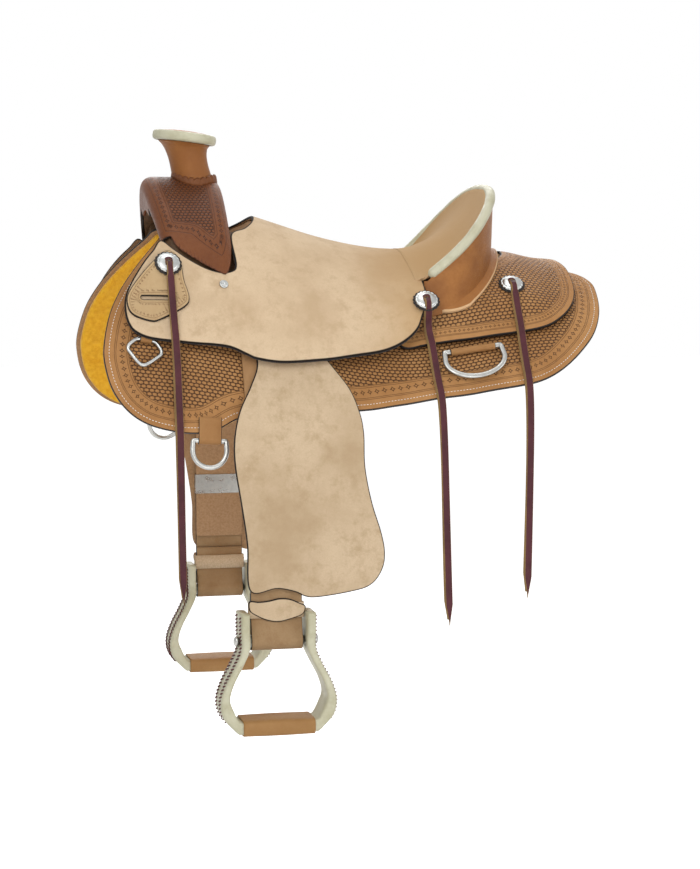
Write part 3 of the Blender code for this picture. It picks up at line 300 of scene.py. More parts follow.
def sheet(name, outline, place, thick, materials, rings=RINGS, cell=0.006, edge_round=0.0016, step=0.004,
          holes=(), relief=None):
    """A leather sheet with rounded edges: place(a, b, height) puts a flat point in the world."""
    outline = even(outline, step)
    normal = inward(outline)
    low, high = outline.min(axis=0), outline.max(axis=0)
    ga, gb = (np.arange(low[k] + cell / 2, high[k], cell) for k in (0, 1))
    grid = np.stack(np.meshgrid(ga, gb, indexing="ij"), axis=-1).reshape(-1, 2)
    grid = grid[inside_of(grid, outline)]
    grid = grid[from_edge(grid, outline)[0] > rings[-1] + cell * 0.5]
    rims = [even(hole, HOLE_STEP) for hole in holes]
    for rim in rims:
        grid = grid[from_edge(grid, rim)[0] > cell * 0.4]
    rows = [outline + normal * d for d in rings] + [grid]
    edges = [(i, (i + 1) % len(outline)) for i in range(len(outline))]
    for rim in rims:
        base = sum(map(len, rows))
        edges += [(base + i, base + (i + 1) % len(rim)) for i in range(len(rim))]
        rows.append(rim)
    made = delaunay_2d_cdt([Vector(p) for p in np.vstack(rows)], edges, [], 1, 1e-6)
    flat = np.array([tuple(v) for v in made[0]])
    faces = np.array([f for f in made[2] if len(f) == 3])
    for hole in holes:
        faces = faces[~inside_of(flat[faces].mean(axis=1), np.asarray(hole, float))]
    distance, arc = from_edge(flat, outline)
    for rim in rims:
        distance = np.minimum(distance, from_edge(flat, rim)[0] + HOLE_BLACKING)
    d = np.minimum(distance, edge_round)
    height = thick - (edge_round - np.sqrt(np.maximum(edge_round ** 2 - (edge_round - d) ** 2, 0.0)))
    if relief is not None:
        height = height + relief(flat[:, 0], flat[:, 1])
    top = place(flat[:, 0], flat[:, 1], height)
    bottom = place(flat[:, 0], flat[:, 1], np.zeros(len(flat)))
    a, b, c = (top[faces[:, k]] for k in range(3))
    if np.sum(np.cross(b - a, c - a) * (top - bottom)[faces[:, 0]]) < 0:
        faces = faces[:, ::-1]
    n = len(flat)
    used = dict.fromkeys(pair for f in faces.tolist() for pair in zip(f, f[1:] + f[:1]))
    rim = [(j, i, i + n, j + n) for i, j in used if (j, i) not in used]
    slots = [0] * len(faces) + [1] * len(faces) + [0] * len(rim)
    total = float(np.sum(np.linalg.norm(np.roll(outline, -1, axis=0) - outline, axis=1)))
    flat_uv, edge_uv = [], []
    for corners, away in ((faces, distance), (faces[:, ::-1], distance), (np.array(rim) % n, np.zeros(n))):
        turn = arc[corners]
        wide = (turn.max(axis=1) - turn.min(axis=1)) > total / 2
        turn = np.where(wide[:, None] & (turn < total / 2), turn + total, turn)
        flat_uv.append(flat[corners].reshape(-1, 2))
        edge_uv.append(np.stack([turn, away[corners]], axis=-1).reshape(-1, 2))
    obj = mesh_object(name, np.vstack([top, bottom]), faces.tolist() + (faces[:, ::-1] + n).tolist() + rim,
                      materials, slots, {"flat": np.vstack(flat_uv), "edge": np.vstack(edge_uv)})
    # A point that no face uses, as in a hole, goes
    bm = bmesh.new()
    bm.from_mesh(obj.data)
    bmesh.ops.delete(bm, geom=[v for v in bm.verts if not v.link_faces], context="VERTS")
    bm.to_mesh(obj.data)
    bm.free()
    return obj


def skin_faces(m, n, closed=True, caps=True):
    """The faces over m rings of n points."""
    faces = [(i * n + j, i * n + (j + 1) % n, (i + 1) * n + (j + 1) % n, (i + 1) * n + j)
             for i in range(m - 1) for j in range(n if closed else n - 1)]
    if caps:
        faces += [tuple(range(n))[::-1], tuple((m - 1) * n + j for j in range(n))]
    return faces


def grid_mesh(name, rings, materials, closed=True, caps=True):
    """A skin over rings of points; rings is an array (ring, point, 3)."""
    rings = np.asarray(rings, float)
    faces = skin_faces(*rings.shape[:2], closed, caps)
    return tidy(mesh_object(name, rings.reshape(-1, 3), faces, materials), 0.0)


def frames_along(points):
    """Tangent and two steady cross directions at each point of a line."""
    t = np.gradient(points, axis=0)
    t /= np.maximum(np.linalg.norm(t, axis=1), 1e-12)[:, None]
    u = np.empty_like(t)
    first = np.array((0.0, 0.0, 1.0)) - t[0] * t[0][2]
    if np.linalg.norm(first) < 1e-6:
        first = np.cross(t[0], (1.0, 0.0, 0.0))
    u[0] = first / np.linalg.norm(first)
    for i in range(1, len(points)):
        v = u[i - 1] - t[i] * u[i - 1].dot(t[i])
        u[i] = v / np.linalg.norm(v)
    return t, u, np.cross(t, u)


def tube(name, points, radius, materials, sides):
    """A round bar, with a radius for each point."""
    _, u, v = frames_along(points)
    a = np.arange(sides) * math.tau / sides
    turn = np.cos(a)[None, :, None] * u[:, None, :] + np.sin(a)[None, :, None] * v[:, None, :]
    return grid_mesh(name, points[:, None, :] + np.asarray(radius)[:, None, None] * turn, materials)


STITCH_PITCH, STITCH_LENGTH, STITCH_RADIUS, STITCH_SINK = 0.0046, 0.0034, 0.00055, 0.0002
STITCH_RINGS = ((-0.5, 0.35, -0.9), (-0.36, 0.9, -0.1), (0.0, 1.0, 0.25), (0.36, 0.9, -0.1),
                (0.5, 0.35, -0.9))
STITCH_SIDES = 6


def stitches(name, points, normals):
    """A row of thread stitches lying on a surface, along points with its normals."""
    along = lengths_along(points)
    at = np.arange(STITCH_PITCH / 2, along[-1] - STITCH_PITCH / 2, STITCH_PITCH)

    def where(values, places):
        return np.stack([np.interp(places, along, values[:, k]) for k in range(3)], axis=1)

    centre, n = where(points, at), where(normals, at)
    t = where(points, at + STITCH_LENGTH / 2) - where(points, at - STITCH_LENGTH / 2)
    t /= np.linalg.norm(t, axis=1)[:, None]
    n = n - t * np.sum(n * t, axis=1)[:, None]
    n /= np.linalg.norm(n, axis=1)[:, None]
    b = np.cross(t, n)
    shape = np.array([(share * STITCH_LENGTH, math.cos(a) * STITCH_RADIUS * fat,
                       (math.sin(a) * fat + height) * STITCH_RADIUS - STITCH_SINK)
                      for share, fat, height in STITCH_RINGS
                      for a in np.arange(STITCH_SIDES) * math.tau / STITCH_SIDES])
    pts = (centre[:, None, :] + t[:, None, :] * shape[None, :, :1] + b[:, None, :] * shape[None, :, 1:2]
           + n[:, None, :] * shape[None, :, 2:3])
    base = skin_faces(len(STITCH_RINGS), STITCH_SIDES)
    faces = [tuple(q + len(shape) * i for q in f) for i in range(len(at)) for f in base]
    return tidy(mesh_object(name, pts.reshape(-1, 3), faces, [THREAD_LOOK]), 0.0)


def joined(name, objects):
    """Several pieces of one material set, as one."""
    bm = bmesh.new()
    materials = []
    for obj in objects:
        start = len(bm.faces)
        bm.from_mesh(obj.data)
        bm.faces.ensure_lookup_table()
        table = []
        for material in obj.data.materials:
            if material not in materials:
                materials.append(material)
            table.append(materials.index(material))
        for face in bm.faces[start:]:
            face.material_index = table[face.material_index]
    mesh = bpy.data.meshes.new(name)
    bm.to_mesh(mesh)
    bm.free()
    for material in materials:
        mesh.materials.append(material)
    for obj in objects:
        bpy.data.objects.remove(obj, do_unlink=True)
    return link(bpy.data.objects.new(name, mesh))


def frame_of(origin, along, out):
    """Matrix with X along, Z out and Y up the slope."""
    z = Vector(out).normalized()
    along = Vector(along)
    x = (along - along.dot(z) * z).normalized()
    matrix = Matrix((x, z.cross(x), z)).transposed().to_4x4()
    matrix.translation = Vector(origin)
    return matrix


def moved(matrix, points):
    m = np.array(matrix)
    return np.asarray(points, float) @ m[:3, :3].T + m[:3, 3]


def turned(name, profile, matrix, materials, steps=48):
    """A turned solid: (radius, height) from the top of its axis down its outside to the foot."""
    rings = []
    for k in range(steps + 1):
        a = math.tau * k / steps
        rings.append(moved(matrix, [(r * math.cos(a), r * math.sin(a), h) for r, h in profile]))
    return tidy(grid_mesh(name, rings, materials, closed=False, caps=False), 1e-6)


def cut(obj, cutters):
    """Cuts the piece by temporary cutters; a face that a cutter makes takes the second material."""
    for cutter in cutters:
        cutter.data.polygons.foreach_set("material_index", np.ones(len(cutter.data.polygons), np.int32))
        boolean = obj.modifiers.new("cut", "BOOLEAN")
        boolean.operation = "DIFFERENCE"
        boolean.solver = "EXACT"
        boolean.object = cutter
    bpy.context.view_layer.update()
    mesh = bpy.data.meshes.new_from_object(obj.evaluated_get(bpy.context.evaluated_depsgraph_get()))
    obj.modifiers.clear()
    obj.data = mesh
    for cutter in cutters:
        bpy.data.objects.remove(cutter, do_unlink=True)
    return obj


# Materials


class Look:
    """One node material, with short calls for its nodes."""

    def __init__(self, name, roughness=0.6, metallic=0.0, specular=0.5, sheen=0.0):
        self.material = bpy.data.materials.new(name)
        self.material.use_nodes = True
        self.tree = self.material.node_tree
        self.shader = self.tree.nodes["Principled BSDF"]
        self.set(self.shader, "Roughness", roughness)
        self.set(self.shader, "Metallic", metallic)
        self.set(self.shader, "Specular IOR Level", specular)
        self.set(self.shader, "Sheen Weight", sheen)
        self.coords = self.node("ShaderNodeTexCoord").outputs["Object"]

    def node(self, kind, **settings):
        node = self.tree.nodes.new(kind)
        for key, value in settings.items():
            setattr(node, key, value)
        return node

    def set(self, node, socket, value):
        """Links a socket, or sets a plain number or colour on it."""
        target = node.inputs[socket]
        if isinstance(value, bpy.types.NodeSocket):
            self.tree.links.new(value, target)
        elif isinstance(value, tuple) and len(value) == 3 and target.type == "RGBA":
            target.default_value = (*value, 1.0)
        else:
            target.default_value = value

    def math(self, operation, a, b=0.0):
        node = self.node("ShaderNodeMath", operation=operation)
        self.set(node, 0, a)
        self.set(node, 1, b)
        return node.outputs[0]

    def noise(self, scale, detail, roughness):
        node = self.node("ShaderNodeTexNoise")
        self.set(node, "Vector", self.coords)
        self.set(node, "Scale", scale)
        self.set(node, "Detail", detail)
        self.set(node, "Roughness", roughness)
        return node.outputs[0]

    def grain(self, scale):
        """Leather grain: the borders of small cells."""
        node = self.node("ShaderNodeTexVoronoi", feature="DISTANCE_TO_EDGE")
        self.set(node, "Vector", self.coords)
        self.set(node, "Scale", scale)
        return self.between(node.outputs["Distance"], 0.0, 0.12)

    def between(self, value, low, high, first=0.0, last=1.0):
        node = self.node("ShaderNodeMapRange", interpolation_type="SMOOTHSTEP")
        for socket, x in (("Value", value), ("From Min", low), ("From Max", high), ("To Min", first),
                          ("To Max", last)):
            self.set(node, socket, x)
        return node.outputs["Result"]

    def mix(self, factor, a, b):
        node = self.node("ShaderNodeMix", data_type="RGBA")
        self.set(node, 0, factor)
        self.set(node, 6, a)
        self.set(node, 7, b)
        return node.outputs[2]

    def uv(self, layer):
        """The two numbers of a UV layer."""
        split = self.node("ShaderNodeSeparateXYZ")
        self.set(split, 0, self.node("ShaderNodeUVMap", uv_map=layer).outputs[0])
        return split.outputs[0], split.outputs[1]

    def along(self):
        """The place along the saddle, in metres."""
        split = self.node("ShaderNodeSeparateXYZ")
        self.set(split, 0, self.coords)
        return split.outputs[0]

    def line(self, distance, at, width):
        """1 on a groove at one distance from the edge."""
        away = self.math("ABSOLUTE", self.math("SUBTRACT", distance, at))
        return self.between(away, width * 0.35, width, 1.0, 0.0)

    def cell(self, value):
        """Place inside a repeated cell, from -1 to 1."""
        return self.math("MULTIPLY", self.math("SUBTRACT", self.math("FRACT", value), 0.5), 2.0)

    def power_sum(self, u, v, power):
        return self.math("ADD", self.math("POWER", self.math("ABSOLUTE", u), power),
                         self.math("POWER", self.math("ABSOLUTE", v), power))

    def basket(self, a, b, wide, high):
        """Basket stamping: rows of small raised ovals, each row half a cell on from the last."""
        row = self.math("FLOOR", self.math("DIVIDE", b, high))
        u = self.cell(self.math("ADD", self.math("DIVIDE", a, wide), self.math("MULTIPLY", row, 0.5)))
        v = self.cell(self.math("DIVIDE", b, high))
        return self.between(self.power_sum(u, v, 2.4), 0.25, 1.05, 1.0, 0.0)

    def stars(self, arc, distance, centre, pitch, size):
        """A row of four-pointed stamps; returns the dark outline and the whole star."""
        u = self.math("MULTIPLY", self.cell(self.math("DIVIDE", arc, pitch)), pitch / 2)
        u = self.math("DIVIDE", u, size)
        v = self.math("DIVIDE", self.math("SUBTRACT", distance, centre), size)
        f = self.power_sum(u, v, 0.62)
        whole = self.between(f, 0.95, 1.12, 1.0, 0.0)
        return self.math("MULTIPLY", whole, self.between(f, 0.62, 0.80)), whole

    def finish(self, colour, heights, roughness=None):
        """Sets the colour and the bump: heights is (value, metres) pairs."""
        self.set(self.shader, "Base Color", colour)
        total = None
        for value, depth in heights:
            part = self.math("MULTIPLY", value, depth * 1000)
            total = part if total is None else self.math("ADD", total, part)
        bump = self.node("ShaderNodeBump")
        self.set(bump, "Strength", 1.0)
        self.set(bump, "Distance", 0.001)
        self.set(bump, "Height", total)
        self.set(self.shader, "Normal", bump.outputs[0])
        if roughness is not None:
            self.set(self.shader, "Roughness", roughness)
        return self.material


LEATHER_SPECULAR = 0.22


def blackened(look, colour, edge, distance, width):
    """The colour, with that of the cut edge close to it."""
    return look.mix(look.between(distance, width * 0.7, width * 1.3, 1.0, 0.0), colour, edge)


def tooled(name, light, shade, edge, dark, roughness, basket=None, border=0.0, stars=None, lines=(),
           edge_width=0.0016, spread=0.25):
    """Stamped leather with a border along its edge."""
    look = Look(name, roughness, specular=LEATHER_SPECULAR)
    arc, distance = look.uv("edge")
    a, b = look.uv("flat")
    tone = look.noise(9.0, 4.0, 0.6)
    fine = look.noise(160.0, 3.0, 0.6)
    colour = look.mix(look.between(tone, 0.3, 0.75), light, shade)
    colour = look.mix(look.between(fine, 0.35, 0.8, 0.0, spread), colour, shade)
    heights = [(look.grain(700.0), 0.00006), (fine, 0.00015)]
    if basket is not None:
        pillow = look.basket(a, b, *basket)
        inside = look.between(distance, border - 0.0004, border + 0.0004)
        hollow = look.math("MULTIPLY", look.math("SUBTRACT", 1.0, pillow), inside)
        colour = look.mix(look.math("MULTIPLY", hollow, 0.92), colour, dark)
        heights.append((hollow, -0.0009))
    for at, width in lines:
        groove = look.line(distance, at, width)
        colour = look.mix(look.math("MULTIPLY", groove, 0.55), colour, dark)
        heights.append((groove, -0.0004))
    if stars is not None:
        outline, whole = look.stars(arc, distance, *stars)
        colour = look.mix(look.math("MULTIPLY", outline, 0.9), colour, dark)
        heights += [(whole, -0.0004), (outline, -0.0003)]
    colour = blackened(look, colour, edge, distance, edge_width)
    return look.finish(colour, heights, look.between(fine, 0.2, 0.8, roughness - 0.06, roughness + 0.08))


def roughout(name, light, shade, edge, edge_width=0.0022, blotch=7.0, rear=None):
    """Suede: a short nap with soft blotches, and painted shade darkening it towards the rear where it is told
    so.
    """
    look = Look(name, 0.95, specular=0.15, sheen=0.12)
    _, distance = look.uv("edge")
    colour = look.mix(look.between(look.noise(blotch, 5.0, 0.62), 0.36, 0.72), light, shade)
    nap = look.noise(420.0, 4.0, 0.7)
    colour = look.mix(look.between(nap, 0.3, 0.8, 0.0, 0.35), colour, shade)
    colour = look.mix(look.between(look.noise(38.0, 5.0, 0.75), 0.44, 0.72, 0.0, 0.85), colour, shade)
    # Painted shade: the rear colour darkens the suede towards the cantle, standing in for the shade over the
    # seat's rear and the cantle dish.
    if rear is not None:
        x = look.math("ADD", look.along(), look.math("MULTIPLY", look.noise(12.0, 3.0, 0.6), 0.08))
        colour = look.mix(look.between(x, -0.02, 0.16, 0.0, 0.9), colour, rear)
    colour = blackened(look, colour, edge, distance, edge_width)
    return look.finish(colour, [(nap, 0.00030), (look.noise(60.0, 3.0, 0.5), 0.0003)])


def smooth_leather(name, light, shade, roughness, grain_scale=600.0, tone_scale=14.0):
    look = Look(name, roughness, specular=LEATHER_SPECULAR)
    colour = look.mix(look.between(look.noise(tone_scale, 5.0, 0.6), 0.32, 0.72), light, shade)
    fine = look.noise(260.0, 3.0, 0.6)
    colour = look.mix(look.between(fine, 0.4, 0.85, 0.0, 0.3), colour, shade)
    return look.finish(colour, [(look.grain(grain_scale), 0.00008), (fine, 0.00020)],
                       look.between(fine, 0.2, 0.8, roughness - 0.06, roughness + 0.1))


def rawhide():
    look = Look("rawhide", 0.42, specular=0.45)
    colour = look.mix(look.between(look.noise(26.0, 5.0, 0.65), 0.38, 0.72), RAWHIDE, RAWHIDE_SHADE)
    colour = look.mix(look.between(look.noise(120.0, 4.0, 0.7), 0.55, 0.85, 0.0, 0.4), colour, RAWHIDE_DARK)
    crease = look.noise(90.0, 4.0, 0.6)
    return look.finish(colour, [(crease, 0.0007), (look.noise(420.0, 3.0, 0.6), 0.00018)],
                       look.between(crease, 0.3, 0.7, 0.36, 0.55))


def metal(name, colour, roughness):
    look = Look(name, roughness, 1.0)
    wear = look.noise(80.0, 4.0, 0.6)
    tone = look.mix(look.between(wear, 0.35, 0.8), colour, tuple(c * 0.72 for c in colour))
    return look.finish(tone, [(look.noise(900.0, 2.0, 0.5), 0.00003)],
                       look.between(wear, 0.3, 0.75, roughness - 0.06, roughness + 0.14))


def flat_look(name, light, shade, roughness, depth, scale=300.0, sheen=0.0):
    look = Look(name, roughness, sheen=sheen, specular=0.3)
    fine = look.noise(scale, 4.0, 0.65)
    return look.finish(look.mix(look.between(fine, 0.3, 0.75), light, shade), [(fine, depth)])


TAN, TAN_SHADE, TAN_DARK = (0.470, 0.240, 0.088), (0.350, 0.160, 0.050), (0.040, 0.014, 0.005)
EDGE_BLACK = (0.010, 0.007, 0.006)
SUEDE, SUEDE_SHADE = (0.700, 0.535, 0.355), (0.540, 0.385, 0.235)
RAWHIDE, RAWHIDE_SHADE, RAWHIDE_DARK = (0.57, 0.55, 0.40), (0.46, 0.43, 0.28), (0.28, 0.25, 0.13)

SKIRT_LOOK = tooled("skirt_leather", TAN, TAN_SHADE, EDGE_BLACK, TAN_DARK, 0.50, (0.0074, 0.0052), 0.036,
                    (0.0255, 0.0112, 0.0044),
                    ((0.0150, 0.0006), (0.0172, 0.0006), (0.0325, 0.0006), (0.0352, 0.0008)), 0.0013)
JOCKEY_LOOK = tooled("jockey_leather", TAN, TAN_SHADE, EDGE_BLACK, TAN_DARK, 0.50, (0.0074, 0.0052), 0.0225,
                     (0.0150, 0.0066, 0.0026),
                     ((0.0092, 0.0006), (0.0108, 0.0005), (0.0190, 0.0005), (0.0215, 0.0008)))
FORK_LOOK = tooled("fork_leather", (0.190, 0.062, 0.018), (0.130, 0.038, 0.011), (0.100, 0.030, 0.010),
                   (0.026, 0.008, 0.003), 0.40, (0.0068, 0.0052), 0.0285, (0.0165, 0.0092, 0.0042),
                   ((0.0090, 0.0007), (0.0235, 0.0007), (0.0270, 0.0011)), 0.0012, 0.45)
# The seat's rear colour is painted shade: it darkens the seat and the cantle dish towards the rear.
SEAT_LOOK = roughout("seat_suede", SUEDE, SUEDE_SHADE, EDGE_BLACK, 0.0022, rear=(0.490, 0.300, 0.132))
FENDER_LOOK = roughout("fender_suede", (0.650, 0.500, 0.335), (0.470, 0.335, 0.200), EDGE_BLACK, 0.0016, 6.0)
FLESH_LOOK = flat_look("flesh_side", (0.46, 0.29, 0.16), (0.36, 0.21, 0.11), 0.92, 0.0004)
TAB_LOOK = tooled("tab_leather", (0.540, 0.380, 0.205), (0.455, 0.290, 0.140), EDGE_BLACK,
                  (0.30, 0.14, 0.06), 0.52, stars=(0.0068, 0.0056, 0.0017), lines=((0.0042, 0.0005),),
                  edge_width=0.0012)
BACK_LOOK = smooth_leather("cantle_back_leather", (0.400, 0.165, 0.045), (0.230, 0.085, 0.024), 0.45)
NECK_LOOK = smooth_leather("horn_leather", (0.380, 0.150, 0.040), (0.270, 0.100, 0.026), 0.45)
COLLAR_LOOK = smooth_leather("collar_leather", (0.230, 0.080, 0.024), (0.130, 0.042, 0.013), 0.45)
STRAP_LOOK = smooth_leather("strap_leather", (0.420, 0.240, 0.110), (0.330, 0.175, 0.072), 0.6)
TREAD_LOOK = smooth_leather("tread_leather", (0.410, 0.228, 0.088), (0.330, 0.170, 0.058), 0.5)
TIE_LOOK = smooth_leather("latigo_leather", (0.085, 0.019, 0.026), (0.055, 0.012, 0.016), 0.45, 700.0, 30.0)
TIE_BACK_LOOK = smooth_leather("latigo_flesh", (0.330, 0.215, 0.085), (0.240, 0.150, 0.060), 0.7, 700.0, 30.0)
RAWHIDE_LOOK = rawhide()
SILVER_LOOK = metal("nickel_silver", (0.46, 0.47, 0.46), 0.30)
STEEL_LOOK = metal("stainless_steel", (0.42, 0.42, 0.40), 0.30)
THREAD_LOOK = flat_look("white_thread", (0.86, 0.84, 0.78), (0.72, 0.69, 0.62), 0.8, 0.00008, 900.0)
FLEECE_LOOK = flat_look("golden_fleece", (0.930, 0.520, 0.030), (0.780, 0.370, 0.012), 0.98, 0.0012, 140.0,
                        0.3)
BLACK_LOOK = flat_look("black_edge", (0.012, 0.009, 0.008), (0.025, 0.018, 0.014), 0.6, 0.0001)
# The tree's rawhide is coloured dark brown as painted shade, so that it reads as shadow where it shows in the
# gaps and the hand hole.
TREE_PAINTED_SHADE_LOOK = flat_look("tree_rawhide_painted_shade", (0.120, 0.062, 0.026), (0.070, 0.034, 0.014), 0.6, 0.0003, 90.0)
LACE_LOOK = smooth_leather("edge_lace", (0.115, 0.022, 0.020), (0.080, 0.014, 0.012), 0.45, 700.0, 40.0)
LOOP_LOOK = roughout("loop_suede", (0.380, 0.248, 0.132), (0.300, 0.180, 0.088), EDGE_BLACK, 0.0006, 16.0)
SUEDE_PLAIN_LOOK = flat_look("hobble_suede", (0.630, 0.480, 0.325), (0.500, 0.360, 0.225), 0.95, 0.0003,
                             420.0)
FILLER_LOOK = tooled("filler_leather", (0.420, 0.185, 0.055), (0.330, 0.130, 0.036), (0.70, 0.45, 0.24),
                     (0.10, 0.04, 0.015), 0.45, edge_width=0.0012)
RIG_LOOK = smooth_leather("rigging_leather", (0.400, 0.205, 0.075), (0.310, 0.145, 0.048), 0.55)

# The CAD nodes that stay
for node_name, node_look in (("tree_bar_near", TREE_PAINTED_SHADE_LOOK), ("tree_bar_off", TREE_PAINTED_SHADE_LOOK),
                             ("tree_fork", TREE_PAINTED_SHADE_LOOK), ("ground_seat", FLESH_LOOK),
                             ("leather_buckle_near", STEEL_LOOK), ("leather_buckle_off", STEEL_LOOK)):
    node_mesh = frame["nodes"][node_name].data
    node_mesh.materials.clear()
    node_mesh.materials.append(node_look)

# More shapes


def slab(name, base, top, materials, edges="abcd"):
    """A closed sheet between two grids of points (row, column, 3), with both UV layers in metres."""
    base, top = np.asarray(base, float), np.asarray(top, float)
    m, n, _ = top.shape
    rows, columns = (np.linalg.norm(np.diff(top, axis=k), axis=2) for k in (0, 1))
    along = np.concatenate([np.zeros((1, n)), np.cumsum(rows, axis=0)])
    down = np.concatenate([np.zeros((m, 1)), np.cumsum(columns, axis=1)], axis=1)
    sides = {"a": along, "b": along[-1:] - along, "c": down, "d": down[:, -1:] - down}
    distance = np.full((m, n), 1.0)
    for key in edges:
        distance = np.minimum(distance, sides[key])
    faces, corners, slots = [], [], []
    for i in range(m - 1):
        for j in range(n - 1):
            cell = ((i, j), (i, j + 1), (i + 1, j + 1), (i + 1, j))
            for around, first, slot in ((cell, 0, 0), (cell[::-1], m * n, 1)):
                faces.append([first + a * n + b for a, b in around])
                corners += around
                slots.append(slot)
    rim = [(0, j) for j in range(n)] + [(i, n - 1) for i in range(1, m)]
    rim += [(m - 1, j) for j in range(n - 2, -1, -1)] + [(i, 0) for i in range(m - 2, 0, -1)]
    for (i, j), (k, l) in zip(rim, rim[1:] + rim[:1]):
        faces.append([k * n + l, i * n + j, m * n + i * n + j, m * n + k * n + l])
        corners += [(k, l), (i, j), (i, j), (k, l)]
        slots.append(0)
    row, column = np.array(corners).T
    uvs = {"flat": np.stack([along, down], axis=-1)[row, column],
           "edge": np.stack([np.maximum(along, down), distance], axis=-1)[row, column]}
    points = np.concatenate([top.reshape(-1, 3), base.reshape(-1, 3)])
    return tidy(mesh_object(name, points, faces, materials, slots, uvs))


def grid_normals(grid, towards):
    """Unit normals of a grid of points, on the side of a direction."""
    n = np.cross(np.gradient(grid, axis=0), np.gradient(grid, axis=1))
    n /= np.maximum(np.linalg.norm(n, axis=2), 1e-12)[..., None]
    return n if np.sum(n * np.asarray(towards, float)) > 0 else -n


def corner_points(mesh):
    """The point of each face corner."""
    vertex = np.empty(len(mesh.loops), np.int32)
    mesh.loops.foreach_get("vertex_index", vertex)
    return vertex


def set_uv(mesh, name, a, b):
    """Fills a UV layer with two numbers for each face corner."""
    layer = mesh.uv_layers.get(name) or mesh.uv_layers.new(name=name)
    layer.data.foreach_set("uv", np.stack([a, b], axis=1).astype(np.float32).ravel())


def strap(name, points, across, width, thick, materials, corner=0.0006):
    """A flat strap along points, with its cut edges in the second material."""
    p = np.asarray(points, float)
    t, _, _ = frames_along(p)
    a = np.broadcast_to(np.asarray(across, float), p.shape)
    a = a - t * np.sum(a * t, axis=1)[:, None]
    a /= np.linalg.norm(a, axis=1)[:, None]
    n = np.cross(t, a)
    hw, ht = (np.broadcast_to(np.asarray(size, float) / 2, (len(p),))[:, None] for size in (width, thick))
    c = np.minimum(corner, np.minimum(hw, ht) * 0.9)
    k = 0.3 * c
    half_round = np.hstack([hw - c, hw - k, hw, hw, hw - k, hw - c])
    rise = np.hstack([-ht, k - ht, c - ht, ht - c, ht - k, ht])
    u = np.hstack([half_round, 0 * hw, -half_round, 0 * hw])
    v = np.hstack([rise, ht, rise[:, ::-1], -ht])
    rings = p[:, None, :] + u[..., None] * a[:, None, :] + v[..., None] * n[:, None, :]
    obj = grid_mesh(name, rings, materials)
    mesh, count, along = obj.data, u.shape[1], lengths_along(p)
    ring, place = np.divmod(corner_points(mesh), count)
    set_uv(mesh, "flat", along[ring], u[ring, place])
    set_uv(mesh, "edge", along[ring], (hw - np.abs(u))[ring, place])
    for face in mesh.polygons:
        sides = {v % count for v in face.vertices}
        if len(face.vertices) > 4 or sides <= set(range(6)) or sides <= set(range(7, 13)):
            face.material_index = 1
    return obj


def squared(value, power):
    """A sine or cosine for a ring that is round at power 2 and squarer above it."""
    return np.sign(value) * np.abs(value) ** (2 / power)


BAR_SIDES = 14


def ring_bar(name, outline, matrix, half_in, half_out, material, power=2.0):
    """A closed bar round a flat outline in the matrix's plane."""
    a = np.arange(BAR_SIDES) * math.tau / BAR_SIDES
    u, v = squared(np.cos(a), power) * half_in, squared(np.sin(a), power) * half_out
    flat = outline[:, None, :] + inward(outline)[:, None, :] * u[None, :, None]
    rings = np.concatenate([flat, np.broadcast_to(v[None, :, None], flat.shape[:2] + (1,))], axis=2)
    rings = moved(matrix, rings.reshape(-1, 3)).reshape(rings.shape)
    return tidy(grid_mesh(name, np.concatenate([rings, rings[:1]]), [material], caps=False))


def surface_normals(surface, a, b):
    """Outward normals of surface(a, b) on either side of the saddle."""
    e = 0.002
    n = np.cross(surface(a + e, b) - surface(a - e, b), surface(a, b + e) - surface(a, b - e))
    n /= np.linalg.norm(n, axis=1)[:, None]
    outside = np.stack([np.zeros_like(a), np.sign(surface(a, b)[:, 1]), np.ones_like(a) * 0.7], axis=1)
    return n * np.sign(np.sum(n * outside, axis=1))[:, None]


def run_between(line, start, end):
    """The stretch of a closed line from near one point to near another, in its own direction."""
    i, k = (int(np.argmin(np.linalg.norm(line - np.array(q), axis=1))) for q in (start, end))
    return np.roll(line, -i, axis=0)[:(k - i) % len(line) + 1]


def edge_stitches(name, outline, start, end, inset, surface):
    """Stitches along a sheet's edge, at a distance in from it."""
    line = even(outline, 0.002)
    a, b = run_between(line + inward(line) * inset, start, end).T
    return stitches(name, surface(a, b), surface_normals(surface, a, b))


def over(lift):
    """place() for a sheet whose underside lies at a lift."""
    return lambda x, s, h: side(x, s, (lift(x, s) if callable(lift) else lift) + h)


def on_seat(extra):
    """The lift of the seat leather's top, and a little more."""
    return lambda x, s: seat_lift(x, s) + SEAT + extra


def on_jockey(x, s):
    return jockey_lift(x, s) + JOCKEY + REST_GAP


# Skirts, linings and jockeys

SKIRT_EDGE = ((-0.300, 0.079), (-0.340, 0.139), (-0.362, 0.176), (-0.379, 0.215), (-0.389, 0.260),
              (-0.389, 0.289), (-0.380, 0.324), (-0.360, 0.352), (-0.331, 0.369), (-0.290, 0.375),
              (-0.255, 0.371), (-0.233, 0.361), (-0.204, 0.341), (-0.162, 0.326), (-0.076, 0.303),
              (-0.017, 0.289), (0.027, 0.278), (0.085, 0.270), (0.143, 0.272), (0.201, 0.272),
              (0.238, 0.267), (0.270, 0.251), (0.301, 0.223), (0.329, 0.186), (0.347, 0.142),
              (0.356, 0.095), (0.356, 0.060), (0.335, 0.038))
SKIRT_CHANNEL = ((0.280, 0.030), (0.150, 0.028), (0.0, 0.028), (-0.150, 0.028), (-0.250, 0.034),
                 (-0.285, 0.052))
SKIRT_STITCH_IN, JOCKEY_STITCH_IN = 0.0078, 0.0048
LINING_INSET, LINING_CENTRE = 0.0060, np.array((-0.02, 0.20))
